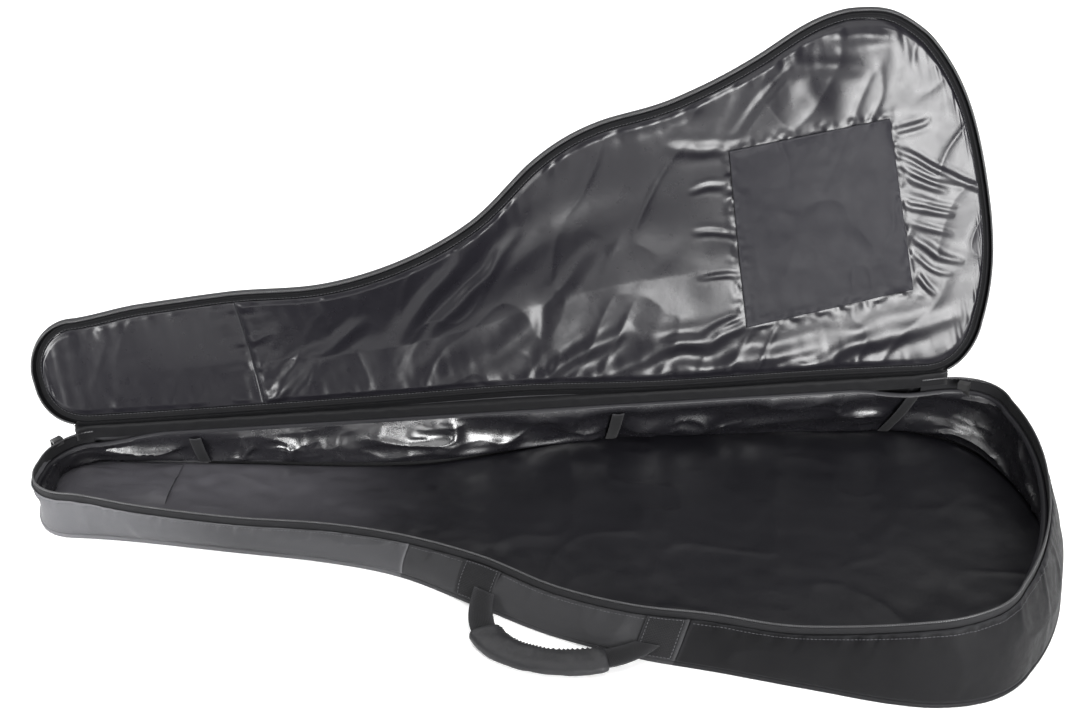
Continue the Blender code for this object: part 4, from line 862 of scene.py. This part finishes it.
def makeLidEdge():
    around = evenColumns(0, loopColumns, 4 * mm)[:-1]
    # band: a rounded welt with a groove beside it on the face that looks into the bag
    loopSweep("lidBand", "lid", bandCloth, around, [
        (0.3, 9.2), (1.4, 8.8), (3.5, 8.7), (5.0, 8.3), (5.9, 7.4), (7.0, 6.9), (8.1, 7.4), (8.8, 8.3), (10.2, 8.8),
        (12.0, 9.0), (12.8, 11), (12.7, 14.5), (11.6, 16.3), (10.0, 16.6), (6.5, 15.4), (3.2, 13.2), (0.9, 11.2)],
        closed=True)
    piping = rimAt(around, 10.6 * mm, 18.9 * mm, "lid")
    rings = ringAround(np.vstack([piping, piping[:1]]), np.broadcast_to([0, 0, 1.0], (len(piping) + 1, 3)),
                       roundSection(2 * mm))[:-1]
    gridPiece("lidPiping", rings, "lid", blackPolyester, loopRows=True, loopCols=True)
    # the lid's coil starts this many degrees round the far corners, beyond the ends of the hinge
    coilStart = 22
    start = hingeHeadColumn + coilStart / headArc * steps["head"]
    end = hingeTailColumn - coilStart / tailArc * steps["corner"] + loopColumns
    slack = 0.02
    upper = evenColumns(start, end, 3 * mm)
    loopSweep("upperZipTape", "lid", zipTapeCloth, upper, [(0.3, 8.9), (1.3, 8.9), (3.5, 4.0), (2.5, 4.0)])
    upright = [0, 0, 1.0]
    coilPiece("upperZipCoil", rimAt(upper, 3 * mm, 2.4 * mm, "lid"), upright, "lid")
    loopSweep("lidHingeTape", "lid", zipTapeCloth, evenColumns(end - loopColumns + slack, start - slack, 4 * mm),
              [(0.3, 8.9), (1.3, 8.9), (1.3, 1.0), (0.3, 1.0)])
    lower = evenColumns(hingeHeadColumn + slack, hingeTailColumn + loopColumns - slack, 3 * mm)
    loopSweep("lowerZipTape", "base", zipTapeCloth, lower,
              [(1.5, -19), (2.3, -19), (2.6, -9.5), (3.5, -4.0), (2.5, -4.0), (1.7, -9.5)])
    coilPiece("lowerZipCoil", rimAt(lower, 3 * mm, -2.4 * mm), upright, "base")
    loopSweep("hingeTape", "base", zipTapeCloth, evenColumns(hingeTailColumn, hingeHeadColumn, 4 * mm),
              [(0.3, -9.7), (1.3, -9.7), (1.3, -1.0), (0.3, -1.0)])


makeLidEdge()


def makeHingeCloth():
    # cloth over the fold: it hangs from the lid's band and is sewn to the base lining, in front of the hinge
    look = dict(thick=0.8, ruffle=0.7, steps=19, startStep=4, endStep=-3)
    # inset and height in mm, from the base lining over the fold to the lid's band
    path = [("base", 4.8, -9.5), ("base", 4.4, -7.2), ("base", 3.6, -4.2), ("base", 2.6, -0.4), ("base", 0.9, 2.7),
            ("lid", 2.0, 4.5), ("lid", 4.2, 8.3)]
    columns = evenColumns(hingeTailColumn - 1.6, hingeHeadColumn + 1.8, 3 * mm)
    rows = np.stack([toFrame(rimAt(columns, a * mm, b * mm, body), body) for body, a, b in path], 1)
    # a smooth line through each set of rows
    t = np.linspace(0, len(path) - 1, look["steps"])
    i = np.minimum(t.astype(int), len(path) - 2)
    u = (t - i)[None, :, None]
    before, after = rows[:, np.maximum(i - 1, 0)], rows[:, np.minimum(i + 2, len(path) - 1)]
    a, b = rows[:, i], rows[:, i + 1]
    points = 0.5 * ((2 * a) + (b - before) * u + (2 * before - 5 * a + 4 * b - after) * u ** 2
                    + (3 * a - before - 3 * b + after) * u ** 3)
    along = runOf(points[:, 0])[:, None] / mm
    line = np.stack(np.broadcast_arrays(along, t[None] * 1.2, 0.0), -1)
    points[..., 1] -= look["ruffle"] * mm * soft(line, 13, 101) * np.sin(t / t[-1] * math.pi)[None]
    places["still"] = Matrix.Identity(4)
    axis = np.array(places["base"].to_3x3() @ Vector(hingePlace.col[0][:3]))
    start, end = (points[len(columns) // 2, look[step]] for step in ("startStep", "endStep"))
    away = end - start
    away = away - axis * (away @ axis)
    piece = gridPiece("hingeCloth", points, "still", bandCloth, thick=look["thick"] * mm, blended=True)
    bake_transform(piece)


makeHingeCloth()
print("lid band, piping and zips made")


def makeEdgeStitches():
    look = dict(pitch=3.8, length=2.7, thread=0.3, seamSteps=(-0.11, 0.11))
    line = rimAt(evenColumns(0, loopColumns, 6 * mm), 11.6 * mm, 8.8 * mm, "lid")
    stitchLine("lidBandStitches", line, downInLid, "lid", look)
    seamAt = lidRung(liningLook["seamX"] * mm)
    for n, step in enumerate(look["seamSteps"]):
        line = lidAt(np.array([seamAt + step]), np.linspace(0.03, 0.97, 80), (liningLook["height"] - 0.7) * mm)[0]
        stitchLine(f"lidSeamStitches{n + 1}", line, downInLid, "lid", look)
    print("edge stitches made")


makeEdgeStitches()


def makeLidCover():
    look = dict(low=10.1, high=16.6, crown=2.6, wrinkle=0.8, zipAway=88, zipFlat=22, zipFrom=(85, 110),
                zipTo=(400, 425))
    rungs = evenRungs(0.02, chainSteps - 0.01, 6 * mm)
    across = np.linspace(0, 1, 70)
    top = lidAt(rungs, across, look["high"] * mm)
    edge = edgeDistance(top)
    crown = look["crown"] * (1 - np.exp(-edge / 14)) - 1.6 * np.exp(-edge / 3)
    # the cover lies flat under the pocket's zip
    x = top[..., 0] / mm
    fromZip = abs((top[..., 1] - hingeY(top[..., 0])) / mm + look["zipAway"])
    nearZip = np.exp(-(fromZip / look["zipFlat"]) ** 4) * eased(x, *look["zipFrom"]) * (1 - eased(x, *look["zipTo"]))
    crown = (crown + look["wrinkle"] * layered(top, 60 * mm, 51)) * (1 - nearZip) - 0.3 * nearZip
    top[..., 2] += crown * mm
    padded("lidCover", top, lidAt(rungs, across[::6], look["low"] * mm), "lid", blackPolyester, ["lid_foam"])


def lidPad(name, rungs, near, far, low, high, crown, puff=None):
    across = np.linspace(near, far, 60)
    top = lidAt(rungs, across, high * mm)
    edge = edgeDistance(top, ends=True)
    top[..., 2] += (crown * (1 - np.exp(-edge / 10)) - (high - low) * 0.55 * np.exp(-edge / 2.2)) * mm
    top[..., 2] += 0.5 * mm * layered(top, 45 * mm, 57) * eased(edge, 0, 12)
    padded(name, top, lidAt(rungs, across[::6], low * mm), "lid", blackPolyester, puff=puff)


def makeFrontPocket():
    look = dict(headX=105, tailX=500, near=0.08, far=0.66, low=16.9, high=20.4, crown=2.5, stitchIn=(5, 9), wide=380,
                puff=dict(pressure=3.0, stiff=15, bend=0.5, frames=16, cap=5.0),
                stitch=dict(pitch=4.0, length=2.8, thread=0.35))
    headX, tailX, near, far = (look[k] for k in ("headX", "tailX", "near", "far"))
    lidPad("frontPocket", evenRungs(lidRung(headX * mm), lidRung(tailX * mm), 5 * mm), near, far, look["low"],
           look["high"], look["crown"], look["puff"])
    # a double row of stitches lies inside the pocket's edge
    for n, inset in enumerate(look["stitchIn"]):
        share = inset / look["wide"]
        around = ringPlaces(lidRung((headX + inset) * mm), lidRung((tailX - inset) * mm), 90, near + share,
                            far - share, 60)
        line = np.concatenate([lidAt(np.array([rung]), [across])[0] for rung, across in zip(*around)])
        stitchLine(f"pocketStitches{n + 1}", line + (0, 0, (20.6 + 1.2 * n) * mm), np.array([0, 0, 1.0]), "lid",
                   look["stitch"])


makeLidCover()
lidPad("lidHeadCover", evenRungs(1.0, lidRung(liningLook["seamX"] * mm), 5 * mm), 0.03, 0.97, 17.6, 18.8, 0.8)
makeFrontPocket()
print("lid outside made")


# Base
greyTo, shadedTo = -118, 163  # x where the near side's grey cloth meets its painted-shade copy, and of the seam to the black cloth, in mm


def makeWallPanels():
    look = dict(thick=1.2, wrinkle=1.8, crease=2.2, pleat=1.9, pleatWide=6.0, pleatDeep=9, rows=34, stitchRow=30.6,
                gap=0.004, stitch=dict(pitch=3.8, length=2.7, thread=0.3))
    headFar, tailFar = farColumn(-365 * mm), farColumn(374 * mm)
    near, waist = nearColumn(greyTo * mm), nearColumn(shadedTo * mm)
    # the handle's part of the near wall wears the painted-shade copy of the grey cloth
    for name, first, last, material in (("headWall", headFar, near + loopColumns, greyPolyester),
                                        ("handleWall", near, waist, paintedShadePolyester),
                                        ("tailWall", waist, tailFar, blackPolyester),
                                        ("hingeWall", tailFar, headFar, blackPolyester)):
        columns = evenColumns(first + look["gap"], last - look["gap"], 3 * mm)
        ups = np.linspace(0.0, 1.0, look["rows"])
        base, out = wallAt(columns, ups)
        squeezed = base * (1, 1, 0.6)
        push = look["wrinkle"] * layered(squeezed, 55 * mm, 61) + look["crease"] * creased(squeezed, 48 * mm, 64)
        push *= 0.15 if name == "hingeWall" else 1  # the lid leans against it
        end = np.minimum(np.arange(len(columns)), np.arange(len(columns))[::-1])
        push = push * np.sin(ups * math.pi)[None].clip(0) ** 0.5 * eased(end, 0, 4)[:, None]
        along = runOf(base[:, -1])[:, None] / mm
        fromTop = np.linalg.norm(base - base[:, -1:], axis=2) / mm
        line = np.stack([along + fromTop * 0.15, fromTop * 0.08, fromTop * 0], -1)
        pleats = look["pleat"] * soft(line, look["pleatWide"], 66) * np.exp(-fromTop / look["pleatDeep"])
        push += pleats * eased(fromTop, 0, 3) * (name != "hingeWall")
        points = base + out * (np.maximum(push, -0.2) * mm)[..., None]
        piece = gridPiece(name, points, "base", material, thick=look["thick"] * mm)
        line, _ = onGrid(points, np.arange(1, len(columns) - 1), look["stitchRow"])
        stitchLine(f"{name}Stitches", line, out[1:-1, int(look["stitchRow"])], "base", look["stitch"])


seamPlaces = dict(Head=-365, Waist=69, Tail=374)  # x of the lining's seams on the far wall, in mm


def makeWallLining():
    look = dict(outer=1.7, inner=8.3, outerTop=0.82, rows=34, crumple=9.0, wave=4.5, foldSize=30, hingeLift=9.5,
                foot=14.6)
    columns = evenColumns(0, loopColumns, 3 * mm)[:-1]
    floor = upAt(columns, look["foot"] * mm)[:, None]
    outer, _ = wallAt(columns, floor + (look["outerTop"] - floor) * np.array([0.0, 0.5, 1.0])[None],
                      look["outer"] * mm)
    # the lining's top edge lies lower where the wide zip tape shows above it
    lift = look["hingeLift"] * eased(columns, 47.2, 49) * (1 - eased(columns, 67, 69))
    crown = np.stack([rimAt(columns, a * mm, (b + lift) * mm) for a, b in
                      ((2.8, -17.5), (4.2, -16), (6.5, -15.4), (8.6, -16.4), (9.8, -18.5))], 1)
    top = upAt(columns, pick(parting[:, None], columns)[:, 0] + (lift - 20) * mm)[:, None]
    down = np.linspace(0, 1, look["rows"])[None]
    base, out = wallAt(columns, top + (floor - top) * down, look["inner"] * mm)
    place = np.mod(columns, loopColumns)[:, None]
    # crumpled most on the far side and at the tail, and flat under the seams' binding
    strength = 0.35 + 0.65 * np.maximum(eased(place, 44, 50), eased(place, 30, 34))
    for x in seamPlaces.values():
        strength = strength * (1 - 0.85 * np.exp(-((place - farColumn(x * mm)) / 0.45) ** 2))
    stretched = base * (0.42, 0.6, 1.0)
    size = look["foldSize"] * mm
    push = look["crumple"] * creased(stretched, size, 171, 2.6) + look["wave"] * layered(stretched, size, 275, 2)
    push += 1.6 * creased(stretched, size * 0.45, 79, 3.0)
    fade = np.sin((0.06 + 0.94 * down) * math.pi).clip(0) ** 0.6
    push = (push + np.sqrt(push ** 2 + 3) - 1.2) / 2 * 1.15 * strength * fade
    inner = base - out * (push * mm)[..., None]
    points = np.concatenate([outer, crown, inner], 1)
    piece = gridPiece("wallLining", points, "base", wallSatin, loopRows=True, loopCols=True, also=["wall_foam"])
    piece.data.materials.append(darkLining)
    dull = outer.shape[1] + crown.shape[1] - 1  # faces of the outer side and the crown in each column
    for face in piece.data.polygons:
        face.material_index = int(face.index % points.shape[1] < dull)


def floorGrid(rungs, across, depth, height):
    near = wallAt(rungs, upAt(rungs, height)[:, None], depth)[0][:, 0]
    other = 2 * chainSteps - rungs
    far = wallAt(other, upAt(other, height)[:, None], depth)[0][:, 0]
    v = np.asarray(across)[None, :, None]
    points = near[:, None] * (1 - v) + far[:, None] * v
    points[..., 2] = height
    return points


def makeFloor():
    look = dict(wave=1.4, crease=1.1, neckWave=2.2, side=7.6, top=14.2, low=8.1)
    rungs = evenRungs(0.02, chainSteps - 0.02, 4 * mm)
    across = np.linspace(0, 1, 110)
    top = floorGrid(rungs, across, look["side"] * mm, look["top"] * mm)
    edge = edgeDistance(top, ends=True)
    bumps = look["wave"] * layered(top, 70 * mm, 81) + look["crease"] * creased(top, 60 * mm, 84, 4.0)
    neck = 1 - eased(top[..., 0], -120 * mm, 60 * mm)
    bumps += look["neckWave"] * neck * layered(top, 42 * mm, 88, 3)
    top[..., 2] += (bumps * eased(edge, 0, 20) - 1.5 * np.exp(-edge / 3)) * mm
    padded("floorLining", top, floorGrid(rungs, across[::9], look["side"] * mm, look["low"] * mm), "base", floorSatin,
           ["back_foam"])
    sheet = floorGrid(evenRungs(0.02, chainSteps - 0.02, 12 * mm), np.linspace(0, 1, 30), 1.6 * mm, 7.8 * mm)
    panel = gridPiece("backPanel", sheet, "base", blackPolyester, thick=1.2 * mm, flip=True)


def makeHeadPad():
    look = dict(tailX=-388, side=8.6, top=15.1, low=14.5, rise=3.6, slope=13.0, knob=6.0, knobAt=(-398, 8),
                knobWide=24, puff=dict(pressure=2.0, stiff=15, bend=0.5, frames=16, cap=3.0))
    rungs = np.linspace(1.0, nearColumn(look["tailX"] * mm), 60)
    across = np.linspace(0.04, 0.96, 60)
    top = floorGrid(rungs, across, look["side"] * mm, look["top"] * mm)
    edge = edgeDistance(top, ends=True)
    away = np.linalg.norm(top[..., :2] / mm - look["knobAt"], axis=2)
    rise = look["rise"] * (1 - np.exp(-edge / look["slope"])) + look["knob"] * np.exp(-(away / look["knobWide"]) ** 4)
    rise += 1.6 * layered(top, 30 * mm, 96) * eased(edge, 0, 16)
    top[..., 2] += (rise - 0.6 * np.exp(-edge / 2)) * mm
    padded("headPad", top, floorGrid(rungs, across[::3], look["side"] * mm, look["low"] * mm), "base", floorSatin,
           puff=look["puff"])


def makeBackPiping():
    radius = 3.15 * mm
    columns = evenColumns(0, loopColumns, 5 * mm)[:-1]
    inwards = pick(backIn, columns)
    plan = pick(back, columns) + inwards * 2.5 * mm
    line = np.column_stack([plan, np.full(len(plan), radius)])
    side = np.column_stack([-inwards, np.zeros(len(plan))])
    line, side = (np.vstack([a[-1:], a, a[:1]]) for a in (line, side))
    piece = gridPiece("backPiping", ringAround(line, side, roundSection(radius, 12) * (1.1, 1))[1:-1], "base",
                      blackPolyester, loopRows=True, loopCols=True)
    piece.data.materials.append(greyPolyester)
    piece.data.materials.append(paintedShadePolyester)
    # on the near side the piping takes the grey cloth, its painted-shade copy and the black cloth in turn
    for face in piece.data.polygons:
        x, y = (face.center - standPlace.translation)[:2]
        if y < hingeY(x):
            face.material_index = 1 if x < greyTo * mm else 2 if x < shadedTo * mm else 0


def makeBindings():
    look = dict(half=6, foot=14.6, top=0.96, depth=9.6, arch=1.0, bow=4.6, steps=(9, 24))
    over, up = (np.linspace(0, 1, n) for n in look["steps"])
    for name, x in seamPlaces.items():
        columns = np.linspace(farColumn((x + look["half"]) * mm), farColumn((x - look["half"]) * mm), len(over))
        floor = upAt(columns, look["foot"] * mm)[:, None]
        base, out = wallAt(columns, floor + (look["top"] - floor) * up[None], look["depth"] * mm)
        bow = look["arch"] * np.sin(over * math.pi)[:, None] + look["bow"] * np.sin(up * math.pi)[None]
        piece = gridPiece(f"seamBinding{name}", base - out * (bow * mm)[..., None], "base", zipTapeCloth,
                          thick=0.8 * mm)


makeWallPanels()
makeWallLining()
makeFloor()
makeHeadPad()
makeBackPiping()
makeBindings()
print("base made")


# Handle
handleLook = dict(headX=-28, tailX=133, up=0.4, clear=3.6, headPull=88, tailPull=60, headSlant=19, tailSlant=57,
                  webbing=25, webbingThick=2, gripWidth=34, gripThick=13, gripSteps=150, offGround=0.8, first=0.2,
                  last=0.84)


def makeHandle():
    look = handleLook
    ends = []
    for x in (look["headX"], look["tailX"]):
        point, _ = wallAt(np.array([nearColumn(x * mm)]), np.array([look["up"]]), -look["clear"] * mm)
        ends.append(Vector(point[0, 0]))
    height = max(p.z for p in ends)
    for p in ends:
        p.z = height
    along = (ends[1] - ends[0]).normalized()
    out = along.cross(Vector((0, 0, 1)))
    rest = (look["offGround"] + look["gripThick"] / 2) * mm
    turns = [np.array(p) for p in (
        ends[0], ends[0] + out * look["headPull"] * mm + along * look["headSlant"] * mm,
        ends[1] + out * look["tailPull"] * mm - along * look["tailSlant"] * mm, ends[1])]

    def lineAt(t):
        w = ((1 - t) ** 3, 3 * t * (1 - t) ** 2, 3 * t * t * (1 - t), t ** 3)
        line = sum(p[None] * w[i][:, None] for i, p in enumerate(turns))
        line[:, 2] = rest + (height - rest) * (2 * t - 1) ** 4
        return line

    def wallEdge(x):
        a, b = (wallAt(np.array([nearColumn((x + d) * mm)]), np.array([look["up"]]))[0][0, 0] for d in (-1, 1))
        return (b - a) * (1, 1, 0) / np.linalg.norm((b - a)[:2])

    edges = (-wallEdge(look["headX"]), wallEdge(look["tailX"]))

    def frames(t):
        ahead = lineAt(np.minimum(t + 0.01, 1)) - lineAt(np.maximum(t - 0.01, 0))
        square = np.cross(ahead, [0, 0, 1.0])
        square /= np.linalg.norm(square, axis=1)[:, None]
        ease = np.minimum(1, np.minimum(t, 1 - t) / 0.16)[:, None]
        edge = np.where(t[:, None] < 0.5, edges[0][None], edges[1][None])
        beside = edge * (1 - ease) + square * ease
        beside /= np.linalg.norm(beside, axis=1)[:, None]
        up = np.cross(beside, ahead)
        return beside, up / np.linalg.norm(up, axis=1)[:, None]

    t = np.linspace(0, 1, 160)
    beside, up = frames(t)
    half, thick = look["webbing"] * mm / 2, look["webbingThick"] * mm / 2
    upper = [(half * 0.97, thick)] + [(half * s, thick) for s in (0.5, 0, -0.5)] + [(-half * 0.97, thick)]
    section = [(-half, 0)] + [(s, -z) for s, z in upper[::-1]] + [(half, 0)] + upper
    rings = np.stack([lineAt(t) + beside * s + up * z for s, z in section], 1)
    gridPiece("handleWebbing", rings, "handle", webbingCloth, loopCols=True, caps=True)
    t = np.linspace(look["first"], look["last"], look["gripSteps"])
    beside, up = frames(t)
    angle = np.linspace(0, 2 * math.pi, 40, endpoint=False)
    wide, high = (look[size] / 2 * np.sign(turn) * abs(turn) ** 0.8
                  for size, turn in (("gripWidth", np.cos(angle)), ("gripThick", np.sin(angle))))
    # the grip closes with a gathered seam along its inner edge, which is the side towards the bag
    inner = (np.clip(np.cos(angle + math.pi), 0, 1) ** 6)[None]
    gather = np.cos(np.arange(len(t)) * 1.25 + soft(np.stack([t * 60, t * 0, t * 0], -1), 3.0, 91) * 2)[:, None]
    end = np.minimum(1, np.minimum(t - look["first"], look["last"] - t) / 0.025)[:, None]
    swell = (0.75 + 0.25 * end ** 0.5) * (1 - 0.2 * inner * (0.5 + 0.5 * gather))
    rings = lineAt(t)[:, None] + beside[:, None] * (wide * swell * (1 - 0.08 * inner * gather))[..., None] * mm \
        + up[:, None] * (high * swell)[..., None] * mm
    rings += up[:, None] * (0.7 * mm * layered(rings, 14 * mm, 93) * np.sign(high))[..., None]
    piece = gridPiece("handleGrip", rings, "handle", gripCloth, loopCols=True, caps=True)


def makeHandleBands():
    look = dict(places=dict(Head=-40, Tail=142), half=19, foot=0.06, top=0.98, steps=(25, 40), out=2.2, thick=1.5,
                stitch=dict(pitch=3.6, length=2.5, thread=0.35))
    over, rows = look["steps"]
    for name, x in look["places"].items():
        columns = np.linspace(nearColumn((x - look["half"]) * mm), nearColumn((x + look["half"]) * mm), over)
        base, out = wallAt(columns, np.linspace(look["foot"], look["top"], rows))
        points = base + out * look["out"] * mm
        piece = gridPiece(f"handleBand{name}", points, "base", webbingCloth, thick=look["thick"] * mm)
        j, i = ringPlaces(1, rows - 2, 60, 2, over - 3, 30)
        stitchLine(f"bandStitches{name}", onGrid(points, i, j)[0], onGrid(base, i, j)[1], "base", look["stitch"])


makeHandle()
makeHandleBands()
print("handle made")


# Shoulder straps under the back
def outlineRing(length, width, corner, inset, count=8):
    points = []
    x, y = length / 2 - corner, width / 2 - corner
    r = max(corner - inset, 0.2 * mm)
    for cx, cy, start in ((x, y, 0), (-x, y, 90), (-x, -y, 180), (x, -y, 270)):
        for a in np.radians(np.linspace(start, start + 90, count)):
            points.append((cx + r * math.cos(a), cy + r * math.sin(a)))
    return np.array(points)


def strapPiece(name, length, width, corner, thick, centre, turn, material=blackPolyester):
    # a flat rounded pad with its middle at this place of the layout; all in mm, turn in radians
    length, width, corner, thick = (v * mm for v in (length, width, corner, thick))
    half = thick / 2
    soften = min(half, corner * 0.8)
    rows = []
    for a in np.linspace(-math.pi / 2, math.pi / 2, 9):
        ring = outlineRing(length, width, corner, soften * (1 - math.cos(a)))
        rows.append(np.column_stack([ring, np.full(len(ring), half * math.sin(a))]))
    c, s = math.cos(turn), math.sin(turn)
    spun = np.array(rows) @ np.array([[c, s, 0], [-s, c, 0], [0, 0, 1]]) + np.array(centre) * mm
    gridPiece(name, spun, "base", material, loopCols=True, caps=True, flip=True)


def makeStraps():
    look = dict(thick=6.3, web=1.7, y=44, padEnd=205, lock=24, gap=0.3, anchor=(345, 120), anchorBack=22.3)
    thick, web = look["thick"], look["web"]
    high = thick - web / 2
    strapPiece("strapYoke", 46, 146, 14, web, (-153.3, 0, high), 0)
    for name, sign in (("Near", -1), ("Far", 1)):
        y = sign * look["y"]
        strapPiece(f"strapPad{name}", 335, 58, 14, thick, (37.5, y, thick / 2), 0)
        start = np.array([look["padEnd"] + look["lock"] + 2 * look["gap"], y])
        anchor = np.array([look["anchor"][0], sign * look["anchor"][1]])
        run = (anchor - start) / np.linalg.norm(anchor - start)
        turn = math.atan2(run[1], run[0])
        strapPiece(f"strapAnchor{name}", 44, 34, 2, web, (*anchor, high), turn)
        stop = anchor - run * look["anchorBack"]
        strapPiece(f"strapWebbing{name}", np.linalg.norm(stop - start) - 1, 25, 1, web, (*(start + stop) / 2, high),
                   turn, webbingCloth)


makeStraps()


def makePocketZip():
    look = dict(fromX=125, toX=385, away=88, half=12, level=16.9, coilUp=2.6, thick=0.9)
    xs = np.linspace(look["fromX"], look["toX"], 120) * mm
    slant = math.hypot(1, hingeSlope)
    across = np.array([-hingeSlope, 1, 0]) / slant
    line = np.column_stack([xs, hingeY(xs) - look["away"] * mm * slant, rimPlane(xs) + look["level"] * mm])
    rows = np.stack([line + across * s * mm for s in np.linspace(-look["half"], look["half"], 9)], 1)
    rows[..., 2] += (1.0 - 0.25 * np.cos(np.linspace(-1, 1, 9) * math.pi))[None] * mm
    tape = gridPiece("pocketZipTape", rows, "lid", zipTapeCloth, thick=look["thick"] * mm)
    coilPiece("pocketZipCoil", line + (0, 0, look["coilUp"] * mm), across, "lid")


makePocketZip()

for name in ("head_slider", "head_pull", "tail_slider", "tail_pull", "pocket_slider", "pocket_pull",
             "ladder_lock_near", "ladder_lock_far"):
    kept = bpy.data.objects[name]
    for place in kept.material_slots:
        place.material = bucklePlastic if "lock" in name else blackMetal
    bevel = kept.modifiers.new("rounded", "BEVEL")
    bevel.width = 0.35 * mm
    bevel.segments = 2
print("straps, pocket zip and metal made")


# Floor, lights and camera
def makeStudio():
    # each light: place, what it points at, width, height, power and spread in degrees
    look = dict(floor=(0.9, 0.9, 0.9), cloud=(0.92, 0.92, 0.92), glow=0.3, size=14, world=0.16,
                lights=[((0.0, 0.7, 3.2), (0.0, 0.7, 0.0), 5.0, 5.0, 170, 180),
                        ((1.2, -1.8, 0.85), (0.55, 0.2, 0.4), 1.0, 1.2, 24, 80),
                        ((-1.0, -0.75, 0.35), (-0.52, -0.05, 0.04), 0.35, 0.35, 2.6, 80),
                        ((-1.0, 1.55, 1.25), (-0.35, 0.0, 0.0), 1.4, 1.0, 20, 180)])
    scene = bpy.context.scene
    scene.view_settings.view_transform = "Standard"
    mesh = bpy.data.meshes.new("studioFloor")
    half = look["size"]
    mesh.from_pydata([(x * half, y * half, 0) for x, y in ((-1, -1), (1, -1), (1, 1), (-1, 1))], [], [(0, 1, 2, 3)])
    floor = bpy.data.objects.new("studioFloor", mesh)
    scene.collection.objects.link(floor)
    material, tree, shader = newMaterial("studioFloor")
    where = tree.nodes.new("ShaderNodeTexCoord").outputs["Object"]
    setInputs(tree, shader, {
        "Base Color": mixColour(tree, noiseNode(tree, where, 3.0), look["floor"], look["cloud"]), "Roughness": 0.9,
        "Emission Color": (1, 1, 1), "Emission Strength": look["glow"]})
    mesh.materials.append(material)
    world = bpy.data.worlds.new("studio")
    world.use_nodes = True
    sky = world.node_tree.nodes["Background"]
    setInputs(world.node_tree, sky, {"Color": (1, 1, 1), "Strength": look["world"]})
    scene.world = world
    for n, (place, target, wide, tall, power, spread) in enumerate(look["lights"]):
        lamp = bpy.data.lights.new(f"softbox{n}", "AREA")
        lamp.shape = "RECTANGLE"
        lamp.size, lamp.size_y = wide, tall
        lamp.energy = power
        lamp.spread = math.radians(spread)
        holder = bpy.data.objects.new(f"softbox{n}", lamp)
        holder.location = place
        holder.rotation_euler = (Vector(target) - Vector(place)).to_track_quat("-Z", "Y").to_euler()
        scene.collection.objects.link(holder)


def makeCamera():
    look = dict(place=(0.1831, -1.5057, 1.13), turn=6.5, down=31.12, roll=0.05, lens=59.45)
    az, el, roll = (math.radians(look[k]) for k in ("turn", "down", "roll"))
    behind = Vector((math.sin(az) * math.cos(el), -math.cos(az) * math.cos(el), math.sin(el)))
    right = Vector((math.cos(az), math.sin(az), 0))
    turned = Matrix((right, behind.cross(right), behind)).transposed().to_4x4()
    data = bpy.data.cameras.new("camera")
    data.lens = look["lens"]
    data.sensor_width = 36
    camera = bpy.data.objects.new("camera", data)
    camera.matrix_world = standPlace @ Matrix.Translation(look["place"]) @ turned @ Matrix.Rotation(roll, 4, "Z")
    bpy.context.scene.collection.objects.link(camera)
    bpy.context.scene.camera = camera


makeStudio()
makeCamera()
print("studio ready")
